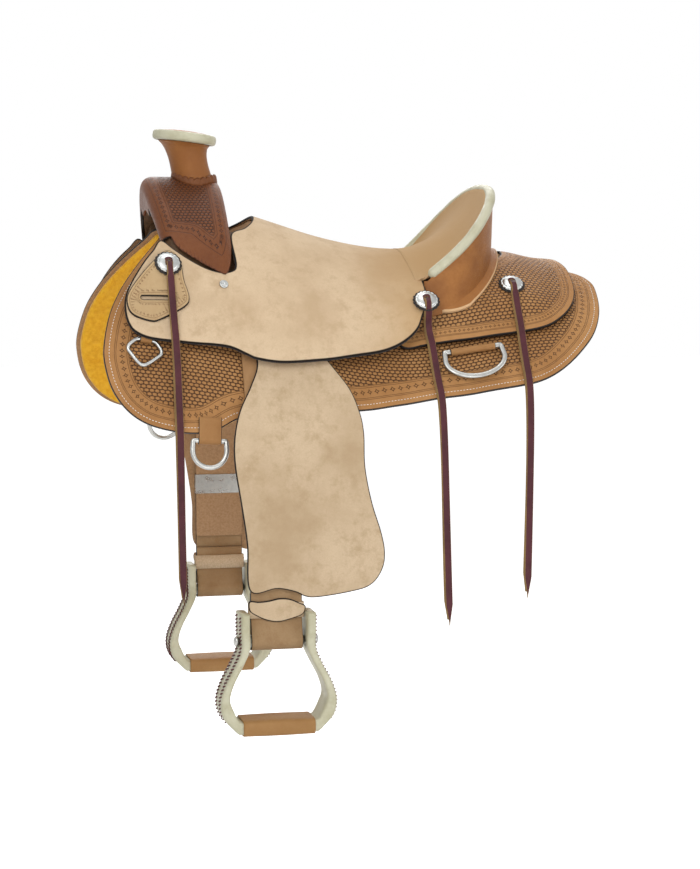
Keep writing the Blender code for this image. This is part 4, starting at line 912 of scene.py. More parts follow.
JOCKEY_EDGE = ((0.233, 0.0030), (0.275, 0.0015), (0.311, 0.0015), (0.316, 0.018), (0.320, 0.045),
               (0.319, 0.082), (0.313, 0.118), (0.301, 0.145), (0.281, 0.168), (0.254, 0.184),
               (0.213, 0.190), (0.154, 0.190), (0.110, 0.187), (0.073, 0.189), (0.048, 0.193),
               (0.036, 0.186), (0.034, 0.165), (0.038, 0.120), (0.060, 0.100), (0.120, 0.080),
               (0.190, 0.055), (0.222, 0.030))


def build_skirts():
    outline = curve_through(SKIRT_EDGE + SKIRT_CHANNEL)
    skirt = sheet("skirt", outline, over(0.0), SKIRT, [SKIRT_LOOK, FLESH_LOOK], cell=0.008)
    put_pair(skirt, "skirt")
    row = edge_stitches("skirt_stitches", outline, (-0.318, 0.100), (0.352, 0.050), SKIRT_STITCH_IN,
                        lambda a, b: side(a, b, SKIRT))
    put_pair(row, "skirt", False)
    corners = np.array(SKIRT_EDGE + SKIRT_CHANNEL)
    inward_by = LINING_CENTRE - corners
    inner = corners + inward_by / np.linalg.norm(inward_by, axis=1)[:, None] * LINING_INSET

    def pile(a, b):
        """Tufts of fleece, as height on the horse side."""
        tufts = np.sin(a * 610 + 3 * np.sin(b * 170)) * np.sin(b * 530 + 2.4 * np.sin(a * 190))
        return -0.0016 + 0.0011 * tufts

    lining = sheet("lining", curve_through(inner), lambda x, s, h: side(x, s, -LAYER_GAP - h), LINING,
                   [FLEECE_LOOK, FLEECE_LOOK], (0.0, 0.0015, 0.004, 0.008), cell=0.0065, edge_round=0.005,
                   step=0.006, relief=pile)
    for obj in put_pair(lining, "lining"):
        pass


def build_jockeys():
    outline = curve_through(JOCKEY_EDGE)
    jockey = sheet("rear_jockey", outline, over(jockey_lift), JOCKEY, [JOCKEY_LOOK, FLESH_LOOK])
    put_pair(jockey, "rear_jockey")
    row = edge_stitches("jockey_stitches", outline, (0.270, 0.006), (0.316, 0.022), JOCKEY_STITCH_IN,
                        lambda a, b: side(a, b, jockey_lift(a, b) + JOCKEY))
    put_pair(row, "rear_jockey", False)


# Seat

SEAT_EDGE = ((-0.301, 0.106), (-0.314, 0.124), (-0.328, 0.143), (-0.348, 0.175), (-0.357, 0.194),
             (-0.359, 0.212), (-0.355, 0.231), (-0.345, 0.243), (-0.322, 0.250), (-0.271, 0.250),
             (-0.230, 0.248), (-0.211, 0.249), (-0.191, 0.255), (-0.176, 0.258), (-0.138, 0.255),
             (-0.085, 0.239), (-0.031, 0.220), (0.012, 0.206), (0.041, 0.192), (0.060, 0.177),
             (0.069, 0.160), (0.076, 0.146))
SEAT_REAR = ((0.079, 0.120), (0.078, 0.080), (0.077, 0.040), (0.076, 0.0))
SEAT_FRONT = ((-0.150, 0.0), (-0.156, 0.026), (-0.172, 0.050), (-0.1960, 0.072), (-0.1960, 0.122),
              (-0.203, 0.135), (-0.220, 0.141), (-0.240, 0.139), (-0.262, 0.130), (-0.282, 0.118))


def flipped(points):
    return tuple((x, -s) for x, s in reversed(points))


def build_seat():
    ring = SEAT_EDGE + SEAT_REAR + flipped(SEAT_EDGE + SEAT_REAR[:-1]) + flipped(SEAT_FRONT) + SEAT_FRONT[1:]
    put(sheet("seat_leather_visual", curve_through(ring), over(seat_lift), SEAT, [SEAT_LOOK, FLESH_LOOK],
              cell=0.009), "seat_leather")


# Fork and horn

FORK_FRONT, FORK_REAR = -0.3110, -0.2015
FORK_HALF_WIDTH, FORK_HEIGHT = 0.138, 0.159
GULLET_HALF_WIDTH, GULLET_HEIGHT = 0.086, 0.115
FORK_SHAPE, FORK_LEAN, FORK_CORNER = 1.5, 0.20, 0.016
FACE_STEPS, CORNER_STEPS, TOP_STEPS = 10, 9, 24
COVER, COVER_GAP, COVER_FLARE = 0.0040, 0.0005, 0.011
HORN_TILT = math.radians(7.0)
HORN_CENTRE = (-0.248, 0.0, 0.2200)
HORN_RADIUS, HORN_RIM, HORN_BINDING_WIDTH = 0.0465, 0.0140, 0.0075
NECK_RADIUS, NECK_FOOT = 0.0290, (-0.232, 0.0, 0.142)
NECK_WIDTHS = ((0.0, 1.04), (0.36, 1.00), (0.60, 0.98), (0.80, 1.04), (0.93, 1.16), (1.0, 1.30))


def arch_points(turn):
    """The fork's outer and inner (y, z) at a turn of its arch, and the way from one to the other."""
    c, s = -math.cos(turn), math.sin(turn)
    power = 2 / FORK_SHAPE
    outer = np.array((math.copysign(abs(c) ** power, c) * FORK_HALF_WIDTH, s ** power * FORK_HEIGHT))
    inner = np.array((c * GULLET_HALF_WIDTH, s * GULLET_HEIGHT))
    away = outer - inner
    return outer, inner, away / np.linalg.norm(away)


def fork_rings(grow, turns):
    """Rings of the fork grown by a distance, and each ring point's way over the profile."""
    rings, ways = [], []
    front, rear, radius = FORK_FRONT - grow, FORK_REAR + grow, FORK_CORNER + grow
    first, last = front + radius, rear - radius
    bends = [math.pi / 2 * i / CORNER_STEPS for i in range(CORNER_STEPS + 1)]
    back_bends = [math.pi / 2 * (1 - i / CORNER_STEPS) for i in range(CORNER_STEPS + 1)]
    for turn in turns:
        outer, inner, away = arch_points(turn)
        height = float(np.linalg.norm(outer - inner)) + grow + COVER_FLARE * (1 - math.sin(turn)) ** 2
        foot = height - radius
        line = [(front, foot * k / FACE_STEPS) for k in range(FACE_STEPS)]
        line += [(front + radius * (1 - math.cos(a)), height - radius * (1 - math.sin(a))) for a in bends]
        line += [(first + (last - first) * k / TOP_STEPS, height) for k in range(1, TOP_STEPS)]
        line += [(rear - radius * (1 - math.cos(a)), height - radius * (1 - math.sin(a))) for a in back_bends]
        line += [(rear, foot * (1 - k / FACE_STEPS)) for k in range(1, FACE_STEPS + 1)]
        ring = []
        for x, h in line:
            y, z = inner + away * h
            ring.append((x + (FORK_HEIGHT - z) * FORK_LEAN * float(ramp(-x, -FORK_REAR, -FORK_FRONT)), y, z))
        rings.append(ring)
        way = lengths_along(line)
        ways.append(way - way[FACE_STEPS + CORNER_STEPS + TOP_STEPS // 2])
    return np.array(rings), np.array(ways)


def envelope(s0, top, hand):
    """A solid of all that lies under a lift on one side, for cutting."""
    x, s = np.meshgrid(np.linspace(-0.40, 0.30, 141), np.linspace(s0, 0.300, 61), indexing="ij")
    return slab("envelope", side(x, s * hand, -0.030), side(x, s * hand, top(x, s * hand)),
                [BLACK_LOOK, BLACK_LOOK])


def distance_to_rim(obj):
    """Each point's distance from the faces that a cut has made."""
    mesh = obj.data
    rim = {v for face in mesh.polygons if face.material_index == 1 for v in face.vertices}
    tree = KDTree(len(rim))
    for i, v in enumerate(rim):
        tree.insert(mesh.vertices[v].co, i)
    tree.balance()
    return np.array([tree.find(v.co)[2] for v in mesh.vertices])


FORK_FACE_HALF, FORK_REAR_EDGE = 0.0600, 0.010
SEAT_UNDER_COVER = 0.098


def build_fork():
    turns = [math.pi * (0.015 + 0.97 * i / 120) for i in range(121)]
    outside, ways = fork_rings(COVER_GAP + COVER, turns)
    inside, _ = fork_rings(COVER_GAP, turns)
    cover = slab("fork_cover_visual", inside, outside, [FORK_LOOK, BLACK_LOOK, FLESH_LOOK])
    mesh = cover.data
    for face in mesh.polygons:
        face.material_index *= 2
    # The flat layer holds the place over the profile, from its middle, and the place along the arch
    along = lengths_along(outside[:, outside.shape[1] // 2])
    keys = np.stack([ways, np.broadcast_to(along[:, None], ways.shape)], axis=-1).reshape(-1, 2)
    where = KDTree(len(keys))
    for i, point in enumerate(outside.reshape(-1, 3)):
        where.insert(point, i)
    where.balance()
    nearest = np.array([where.find(vertex.co)[1] for vertex in mesh.vertices])
    set_uv(mesh, "flat", *keys[nearest[corner_points(mesh)]].T)
    layers = ((0.030, lambda x, s: BAR_TOP + LAYER_GAP + 0 * x), (SEAT_UNDER_COVER, on_seat(REST_GAP)))
    cut(cover, [envelope(s0, top, hand) for s0, top in layers for hand in (1, -1)])
    mesh = cover.data
    flat = np.empty(len(mesh.loops) * 2, np.float32)
    mesh.uv_layers["flat"].data.foreach_get("uv", flat)
    way, arch = flat.reshape(-1, 2).T
    low = distance_to_rim(cover)[corner_points(mesh)]
    across = FORK_FACE_HALF - np.abs(way)
    front = np.maximum(across, 0.0045)
    rear = np.clip(np.abs(across + FORK_REAR_EDGE), 0.0, np.maximum(across, 0.006))
    set_uv(mesh, "edge", np.where(low < across, way, arch), np.minimum(low, np.where(way < 0, front, rear)))
    put(cover, "fork_cover")


def horn_matrix():
    return Matrix.Translation(HORN_CENTRE) @ Matrix.Rotation(HORN_TILT, 4, "Y")


def build_horn():
    top = HORN_RIM / 2
    inner = HORN_RADIUS - HORN_BINDING_WIDTH - GAP
    matrix = horn_matrix()
    profile = [(0.0, top + 0.0027), (0.008, top + 0.0027), (0.020, top + 0.0025),
               (inner - 0.006, top + 0.0012), (inner - 0.0025, top - 0.0002), (inner - 0.0006, top - 0.0014),
               (inner, top - 0.003), (inner, -top + 0.002), (inner - 0.002, -top), (0.0, -top)]
    put(turned("horn_cap_visual", profile, matrix, [NECK_LOOK], 64), "horn_cap")
    outer, core = HORN_RADIUS, HORN_RADIUS - HORN_BINDING_WIDTH
    ring = [(core, top - 0.0010), (core + 0.001, top + 0.0002), (outer - 0.0040, top),
            (outer - 0.0018, top - 0.0008), (outer - 0.0006, top - 0.0026), (outer, 0.002), (outer, -0.002),
            (outer - 0.0006, -top + 0.0026), (outer - 0.0018, -top + 0.0008), (outer - 0.0040, -top),
            (core + 0.001, -top - 0.0001), (core, -top + 0.0010), (core, top - 0.0010)]
    put(turned("horn_binding_visual", ring, matrix, [RAWHIDE_LOOK], 96), "horn_binding")
    under = matrix @ Matrix.Translation((0.0, 0.0, -top - GAP))
    shares = np.linspace(0.0, 1.0, 41)
    a = np.arange(72) * math.tau / 72
    rings = []
    for share, widen in zip(shares, smooth(NECK_WIDTHS, shares)):
        flat = np.stack([np.cos(a), np.sin(a), np.zeros_like(a)], axis=1) * NECK_RADIUS * widen
        rings.append((flat + np.array(NECK_FOOT)) * (1 - share) + moved(under, flat) * share)
    put(grid_mesh("horn_wrap_visual", rings, [NECK_LOOK]), "horn_wrap")
    build_collar()


COLLAR_HEIGHT, COLLAR_THICK, COLLAR_SCALLOPS = 0.0110, 0.0028, 11


def build_collar():
    """The scalloped end of the fork's cover, standing round the foot of the horn."""
    turns = np.linspace(0.2, 0.8, 121) * math.pi
    arch = np.array([arch_points(turn)[0] for turn in turns])
    a = np.arange(176) * math.tau / 176
    grow = COVER_GAP + COVER
    corner = FORK_CORNER + grow
    wave = np.abs(np.sin(a * COLLAR_SCALLOPS)) ** 0.5
    rings = []
    for out, share in ((0.0015, 0.0), (0.0015 + COLLAR_THICK, 0.0), (0.0010 + COLLAR_THICK, 0.5),
                       (COLLAR_THICK, 0.92), (COLLAR_THICK * 0.6, 1.0), (0.0, 1.0), (0.0015, 0.0)):
        r = NECK_RADIUS * 1.03 + out
        x, y = NECK_FOOT[0] - 0.002 + r * np.cos(a), r * np.sin(a)
        z = np.interp(y, arch[:, 0], arch[:, 1]) + grow
        past = np.maximum(x - (FORK_REAR + grow - corner), 0.0)
        z = z - corner + np.sqrt(np.maximum(corner ** 2 - past ** 2, 0.0))
        rings.append(np.stack([x, y, z - 0.0015 + share * (COLLAR_HEIGHT - 0.003 * (1 - wave))], axis=1))
    collar = tidy(grid_mesh("fork_collar_visual", rings, [COLLAR_LOOK], caps=False))
    put(collar, "fork_cover", False)


# Cantle

CANTLE_ENDS, CANTLE_TOP = (0.095, 0.149, -0.003), (0.203, 0.146)
CANTLE_SHAPE = 2.5
BINDING_RADIUS = 0.0065
BACK_BASE_X = 0.206
FACING, CANTLE_BACK = 0.0035, 0.0040
ROLL_FOOT, ROLL_RADIUS = (0.084, -0.133), 0.0073


def over_place(x, y, lift):
    """The point of a layer's top at x and y."""
    ways = np.arange(0.0, 0.26, 0.002)
    s = float(np.interp(abs(y), -side(x, ways, lift(x, ways))[:, 1], ways))
    return side(x, s if y <= 0 else -s, lift(x, s))


ROLL_END = over_place(*ROLL_FOOT, on_seat(0.0060)) * (1.0, -1.0, 1.0)


def cantle_ring(turn):
    """Centre line of the roll on the cantle's rim; turn 0 is the near end."""
    x0, half, z0 = CANTLE_ENDS
    x1, z1 = CANTLE_TOP
    c, s = -math.cos(turn), math.sin(turn)
    power = 2 / CANTLE_SHAPE
    rise = abs(s) ** power
    place = np.array((x0 + (x1 - x0) * rise, math.copysign(abs(c) ** power, c) * half, z0 + (z1 - z0) * rise))
    hand = np.array((1.0, math.copysign(1.0, c), 1.0))
    return place + (ROLL_END - (x0, half, z0)) * hand * (1 - s) ** 3


def back_base(turn):
    """Rear foot of the cantle, on the rear jockeys."""
    x = ROLL_END[0] + (BACK_BASE_X - ROLL_END[0]) * math.sin(turn) ** 0.8
    return over_place(x, -math.cos(turn) * (ROLL_END[1] + 0.004), lambda x, s: on_jockey(x, s) - 0.002)


def from_ring(turn, base, share):
    """A point on the way from the roll's edge to a base."""
    ring = cantle_ring(turn)
    away = base - ring
    start = ring + away / np.linalg.norm(away) * (BINDING_RADIUS + GAP)
    return start + (base - start) * share


DISH_FOOT_X, DISH_FOOT_HALF, DISH_REACH = 0.068, 0.122, 0.60


def dish_line(turn, shares):
    """Points of the dish's underside from the roll down to the seat, in one hollow curve."""
    foot = over_place(DISH_FOOT_X, -math.cos(turn) * DISH_FOOT_HALF, on_seat(0.0002))
    start = from_ring(turn, foot, 0.0)
    middle = np.array((foot[0] + (start[0] - foot[0]) * DISH_REACH, (foot[1] + start[1]) / 2, 0.0))
    middle[2] = over_place(min(middle[0], 0.12), middle[1], on_seat(-0.004))[2]
    u = np.asarray(shares, float)[:, None]
    return start * (1 - u) ** 2 + 2 * middle * u * (1 - u) + foot * u * u


def build_cantle():
    turns = math.pi * (0.5 - 0.488 * np.cos(np.linspace(0.0, math.pi, 101)))
    shares = np.linspace(-0.02, 1.0, 36)
    base = np.array([dish_line(turn, shares) for turn in turns])
    thick = 0.0003 + (FACING - 0.0003) * ramp(1.0 - shares, 0.0, 0.35)[None, :, None]
    facing = slab("cantle_facing_visual", base, base + grid_normals(base, (-0.6, 0.0, 0.8)) * thick,
                  [SEAT_LOOK, FLESH_LOOK], edges="")
    put(facing, "cantle_facing")
    rings = []
    for turn in math.pi * np.linspace(0.136, 0.864, 17):
        front = dish_line(turn, (0.10, 0.25, 0.40, 0.55, 0.68)) + (0.001, 0.0, -0.0014)
        rear = [from_ring(turn, back_base(turn), share) + (-0.0014, 0.0, -0.0005)
                for share in (1.2, 1.0, 0.5, 0.12)]
        rings.append(np.vstack([front, rear]))
    wedge = grid_mesh("tree_cantle_visual", rings, [TREE_PAINTED_SHADE_LOOK])
    cut(wedge, [envelope(0.0, on_jockey, hand) for hand in (1, -1)])
    put(wedge, "tree_cantle")
    base = np.array([[from_ring(turn, back_base(turn), share) for share in np.linspace(-0.06, 1.1, 34)]
                     for turn in (0.0, *turns, math.pi)])
    # The back's two ends close to the seat
    to_seat = np.array((-0.0055, 0.0, 0.0))
    base = np.concatenate([base[:1] + to_seat, base, base[-1:] + to_seat])
    back = slab("cantle_back_visual", base, base + grid_normals(base, (0.9, 0.0, -0.2)) * CANTLE_BACK,
                [BACK_LOOK, BLACK_LOOK])
    cut(back, [envelope(0.0, on_jockey, hand) for hand in (1, -1)])
    put(back, "cantle_back")
    shares = 0.5 - 0.497 * np.cos(np.linspace(0.0, math.pi, 141))
    ring = np.array([cantle_ring(math.pi * share) for share in shares])
    lumps = 1.0 + 0.035 * np.sin(shares * 61.0) * np.sin(shares * 23.0 + 1.0)
    ends = np.sqrt(np.clip(np.minimum(shares - 0.002, 0.998 - shares) / 0.006, 0.1, 1.0))
    binding = tube("cantle_binding_visual", ring, ROLL_RADIUS * lumps * ends, [RAWHIDE_LOOK], 20)
    put(binding, "cantle_binding")
    build_filler()


FILLER_WIDTH, FILLER_THICK, FILLER_STEPS = 0.0145, 0.0026, 90
FILLER_RISE, FILLER_CENTRE = 0.0045, (0.080, 0.0)


def build_filler():
    """The strip of leather that stands round the cantle's foot on the jockeys."""
    feet = np.array([back_base(turn)[:2] for turn in np.linspace(0.03, 0.97, FILLER_STEPS) * math.pi])
    way = np.gradient(feet, axis=0)
    out = np.column_stack([-way[:, 1], way[:, 0]]) / np.linalg.norm(way, axis=1)[:, None]
    out *= np.sign(np.sum(out * (feet - FILLER_CENTRE), axis=1))[:, None]
    count = np.arange(FILLER_STEPS)
    width = FILLER_WIDTH * np.minimum(1.0, 0.25 + np.minimum(count, count[::-1]) / 12)
    low, high = [], []
    for foot, normal, reach in zip(feet, out, width):
        for rows, thick in ((low, 0.0), (high, FILLER_THICK)):
            row = []
            for share in np.linspace(-0.25, 1.0, 8):
                rise = FILLER_RISE * (1 - max(share, 0.0)) ** 2
                lift = lambda x, s: on_jockey(x, s) + 0.0004 + rise + thick
                row.append(over_place(*(foot + normal * reach * share), lift))
            rows.append(row)
    strip = slab("cantle_filler_visual", low, high, [FILLER_LOOK, FLESH_LOOK], edges="d")
    put(strip, "cantle_back", False)


# Hanging leathers

PLANE_X, PLANE_S, PLANE_LIFT = -0.130, 0.300, 0.0064
PIVOT_ABOVE, LEATHER_X, LEATHER_WIDTH = 0.1385, -0.160, 0.073
BEND_START, BEND_LENGTH = 0.170, 0.100
LEATHER_LENGTH, FENDER = 0.392, 0.0035
FENDER_STEP_START, FENDER_STEP_END = 0.130, 0.215
BUCKLE_WALL, LOOP_TOP, LOOP_JOIN = 0.0013, 0.292, 0.446
HOBBLE_TOP, HOBBLE_HEIGHT, HOBBLE_WALL = 0.421, 0.024, 0.0024
BOLT_DROP, SPOOL_RADIUS, BOLT_RADIUS = 0.4765, 0.0088, 0.0045
FENDER_EDGE = ((-0.176, 0.085), (-0.188, 0.119), (-0.206, 0.155), (-0.217, 0.195), (-0.218, 0.232),
               (-0.210, 0.284), (-0.202, 0.340), (-0.198, 0.405), (-0.160, 0.403), (-0.135, 0.408),
               (-0.109, 0.417), (-0.050, 0.410), (-0.024, 0.401), (-0.009, 0.381), (-0.005, 0.358),
               (-0.010, 0.329), (-0.024, 0.284), (-0.033, 0.236), (-0.032, 0.190), (-0.035, 0.160),
               (-0.046, 0.125), (-0.071, 0.087), (-0.100, 0.045), (-0.130, 0.004), (-0.150, -0.012),
               (-0.170, -0.012), (-0.186, 0.006), (-0.184, 0.045))
FENDER_LEVEL = 2 * STRAP + 2 * GAP + BUCKLE_WALL + GAP

PLANE_FALL = float(fall(PLANE_X, PLANE_S))
PLANE_DOWN = np.array((0.0, -math.cos(PLANE_FALL), -math.sin(PLANE_FALL)))
PLANE_OUT = np.array((0.0, -math.sin(PLANE_FALL), math.cos(PLANE_FALL)))
PIVOT = side(PLANE_X, PLANE_S, PLANE_LIFT) - PLANE_DOWN * PIVOT_ABOVE
LEAN = math.pi / 2 - PLANE_FALL
HANG_STEP = 0.001
HANG_V = np.arange(-0.05, 0.60, HANG_STEP)


def hang_turn(v):
    return LEAN * np.clip((v - BEND_START) / BEND_LENGTH, 0.0, 1.0)


HANG_TURN = hang_turn(HANG_V[:-1] + HANG_STEP / 2)[:, None]
HANG_WAY = (PLANE_DOWN * np.cos(HANG_TURN) - PLANE_OUT * np.sin(HANG_TURN)) * HANG_STEP
HANG_LINE = PIVOT + PLANE_DOWN * HANG_V[0] + np.vstack([np.zeros((1, 3)), np.cumsum(HANG_WAY, axis=0)])


def hang(x, v, w):
    """Points of the leathers: x, length v down from the pivot, w outward from the inner face."""
    x, v, w = np.broadcast_arrays(np.asarray(x, float), np.asarray(v, float), np.asarray(w, float))
    turn = hang_turn(v)[..., None]
    normal = PLANE_DOWN * np.sin(turn) + PLANE_OUT * np.cos(turn)
    p = np.stack([np.interp(v, HANG_V, HANG_LINE[:, k]) for k in range(3)], axis=-1) + normal * w[..., None]
    p[..., 0] = x
    return p


def fender_level(v):
    """The fender's inner face: on the leather at its top, and over the folded loop lower down."""
    return STRAP + GAP + (FENDER_LEVEL - STRAP - GAP) * ramp(v, FENDER_STEP_START, FENDER_STEP_END)


def build_leathers():
    half = LEATHER_WIDTH / 2
    cap = [(LEATHER_X + half * math.cos(a), -half * math.sin(a)) for a in np.linspace(0.0, math.pi, 25)]
    long_side = [(LEATHER_X - half, v) for v in np.linspace(0.02, LEATHER_LENGTH, 20)]
    outline = np.array(cap + long_side + [(LEATHER_X + half, v) for _, v in reversed(long_side)])
    leather = sheet("stirrup_leather", outline, hang, STRAP, [STRAP_LOOK, FLESH_LOOK], cell=0.012)
    put_pair(leather, "stirrup_leather")
    fender = sheet("fender", curve_through(FENDER_EDGE), lambda x, v, h: hang(x, v, fender_level(v) + h),
                   FENDER, [FENDER_LOOK, FLESH_LOOK], cell=0.010)
    put_pair(fender, "fender")


def build_loop():
    """The folded leather that carries the stirrup, and the hobble strap round it."""
    centre = STRAP + GAP / 2
    path = [(centre + GAP / 2 + STRAP / 2, v) for v in np.linspace(LOOP_TOP, LOOP_JOIN, 24)]
    radius = SPOOL_RADIUS + 0.0008 + STRAP / 2
    turn = math.radians(38)
    for i in range(33):
        a = turn - (math.pi + 2 * turn) * i / 32
        path.append((centre + radius * math.cos(a), BOLT_DROP - radius * math.sin(a)))
    path += [(centre - GAP / 2 - STRAP / 2, v) for v in np.linspace(LOOP_JOIN, 0.410, 8)]
    line = np.array([hang(LEATHER_X, v, w) for w, v in path])
    loop = strap("leather_loop", line, (1.0, 0.0, 0.0), LEATHER_WIDTH, STRAP, [LOOP_LOOK, BLACK_LOOK])
    put_pair(loop, "leather_loop")
    # The band of the hobble strap, then its wavy front
    half, low, high = LEATHER_WIDTH / 2 + GAP, -GAP, 2 * STRAP + 2 * GAP
    inner, outer = [], []
    for x, w in ((-half, low), (half, low), (half, high), (-half, high)):
        sx, sw = math.copysign(1, x), (1 if w > STRAP else -1)
        for a in ((0.0, 45.0, 90.0) if sx * sw > 0 else (90.0, 45.0, 0.0)):
            c, s = math.cos(math.radians(a)), math.sin(math.radians(a))
            inner.append((x, w))
            outer.append((x + sx * HOBBLE_WALL * c, w + sw * HOBBLE_WALL * s))
    top, foot = HOBBLE_TOP + 0.002, HOBBLE_TOP + HOBBLE_HEIGHT - 0.001
    rings = [[hang(LEATHER_X + x, v, w) for x, w in ring]
             for v, ring in ((top, inner), (top, outer), (HOBBLE_TOP + 0.012, outer), (foot, outer),
                             (foot, inner), (top, inner))]
    band = tidy(grid_mesh("band", rings, [SUEDE_PLAIN_LOOK], caps=False))
    front = sheet("front", curve_through(HOBBLE_EDGE),
                  lambda x, v, h: hang(x, v, high + HOBBLE_WALL * 0.35 + h), 0.0026,
                  [FENDER_LOOK, FLESH_LOOK], cell=0.008)
    put_pair(joined("hobble_strap", [band, front]), "hobble_strap")


HOBBLE_EDGE = ((-0.199, 0.4195), (-0.186, 0.4205), (-0.172, 0.4195), (-0.156, 0.4165), (-0.141, 0.4180),
               (-0.128, 0.4235), (-0.1195, 0.4275), (-0.1190, 0.4330), (-0.1235, 0.4410), (-0.140, 0.4465),
               (-0.158, 0.4500), (-0.175, 0.4470), (-0.190, 0.4400), (-0.199, 0.4330))


# Stirrups

STIRRUP_EAR_WIDTH, STIRRUP_WIDTH, TREAD_WIDTH = 0.106, 0.165, 0.112
STIRRUP_DEPTH, EAR_RISE, STIRRUP_DROP = 0.050, 0.040, 0.128
STIRRUP_WALL, TREAD_WALL = 0.0125, 0.0170
STIRRUP_CORNER, WRAP = 0.0045, 0.0030
HEAD_RADIUS, HEAD_HEIGHT = 0.0075, 0.0062


def stirrup_lines():
    """Outer and inner lines (x, z) of the stirrup's band, from one ear's top round to the other's."""
    ear, wide, tread, wall = STIRRUP_EAR_WIDTH / 2, STIRRUP_WIDTH / 2, TREAD_WIDTH / 2, STIRRUP_WALL
    drop = -STIRRUP_DROP
    outer = [(ear, EAR_RISE), (ear, 0.016), (ear, -0.010), (ear + 0.009, -0.032), (wide - 0.007, -0.058),
             (wide, -0.082), (wide - 0.004, -0.104), (tread + 0.007, drop + 0.006), (tread, drop)]
    inner = [(ear - wall, EAR_RISE), (ear - wall, 0.016), (ear - wall, -0.008), (ear - wall + 0.009, -0.030),
             (wide - wall - 0.007, -0.056), (wide - wall - 0.001, -0.078), (wide - wall - 0.006, -0.094),
             (tread + 0.001, drop + TREAD_WALL + 0.003), (tread - 0.004, drop + TREAD_WALL)]
    lines = []
    for points, height in ((outer, drop), (inner, drop + TREAD_WALL)):
        half = curve_through(points, 8, closed=False)
        bottom = np.stack([np.linspace(half[-1][0], 0.0, 9)[1:], np.full(8, height)], axis=1)
        half = np.vstack([half, bottom])
        lines.append(np.vstack([half, (half * (-1, 1))[-2::-1]]))
    return lines


def build_stirrup():
    centre = hang(LEATHER_X, BOLT_DROP, STRAP + GAP / 2)
    across = Matrix.Translation(centre) @ Matrix.Rotation(math.pi / 2, 4, "Y")
    outer, inner = stirrup_lines()
    half = STIRRUP_DEPTH / 2
    rings = []
    for o, i in zip(outer, inner):
        width = float(np.linalg.norm(o - i))
        direction = (o - i) / width
        c = min(STIRRUP_CORNER, width * 0.4)
        ring = []
        for ca, cy, start in ((c, -(half - c), 180), (width - c, -(half - c), 270), (width - c, half - c, 0),
                              (c, half - c, 90)):
            for a in np.radians(start + np.array((0.0, 30.0, 60.0, 90.0))):
                way = ca + c * math.cos(a)
                ring.append((i[0] + direction[0] * way, cy + c * math.sin(a), i[1] + direction[1] * way))
        rings.append(ring)
    band = grid_mesh("stirrup", np.array(rings) + centre, [RAWHIDE_LOOK])
    bore = BOLT_RADIUS + GAP
    cut(band, [turned("drill", [(0.0, 0.07), (bore, 0.07), (bore, -0.07), (0.0, -0.07)], across,
                      [RAWHIDE_LOOK, RAWHIDE_LOOK], 24)])
    laces = [lacing(outer, centre, hand) for hand in (1, -1)]
    put_pair(joined("stirrup", [band, *laces]), "stirrup")
    put_pair(build_tread(centre), "tread")
    ear, inside = STIRRUP_EAR_WIDTH / 2 + 0.0009, LEATHER_WIDTH / 2 + 0.0015
    profile = [(0.0, ear + HEAD_HEIGHT), (0.004, ear + 0.0060), (HEAD_RADIUS - 0.001, ear + 0.0045),
               (HEAD_RADIUS, ear + 0.003), (HEAD_RADIUS, ear), (BOLT_RADIUS, ear), (BOLT_RADIUS, inside),
               (SPOOL_RADIUS - 0.0006, inside), (SPOOL_RADIUS, inside - 0.0006)]
    profile += [(r, -h) for r, h in reversed(profile)]
    put_pair(turned("stirrup_bolt", profile, across, [STEEL_LOOK], 32), "stirrup_bolt")


LACE_PITCH, LACE_REACH, LACE_INSET = 0.0052, 0.0062, 0.0105
LACE_RADII = (0.0007, 0.0010, 0.0011, 0.0011, 0.0011, 0.0010, 0.0007)


def lacing(outer, centre, hand):
    """Lace over the seam of the rawhide, down the outside of one leg."""
    line = outer[:len(outer) // 2] * (hand, 1)
    line = even(line[line[:, 1] > -STIRRUP_DROP + 0.012], LACE_PITCH, closed=False)
    tangent = np.gradient(line, axis=0)
    tangent /= np.linalg.norm(tangent, axis=1)[:, None]
    normal = np.stack([-tangent[:, 1], tangent[:, 0]], axis=1)
    if np.sum(normal[:, 0] * hand) < 0:
        normal = -normal
    parts = []
    for y0 in (-STIRRUP_DEPTH / 2 + LACE_INSET, STIRRUP_DEPTH / 2 - LACE_INSET):
        for k in range(1, len(line) - 1):
            arch = []
            for q in np.linspace(-1.0, 1.0, len(LACE_RADII)):
                p = line[k] + normal[k] * (0.0012 - 0.0020 * abs(q) ** 3) + tangent[k] * q * LACE_PITCH * 0.42
                arch.append((p[0], y0 + q * LACE_REACH, p[1]))
            parts.append(tube("lace", np.array(arch) + centre, LACE_RADII, [LACE_LOOK], 6))
    return joined("laces", parts)


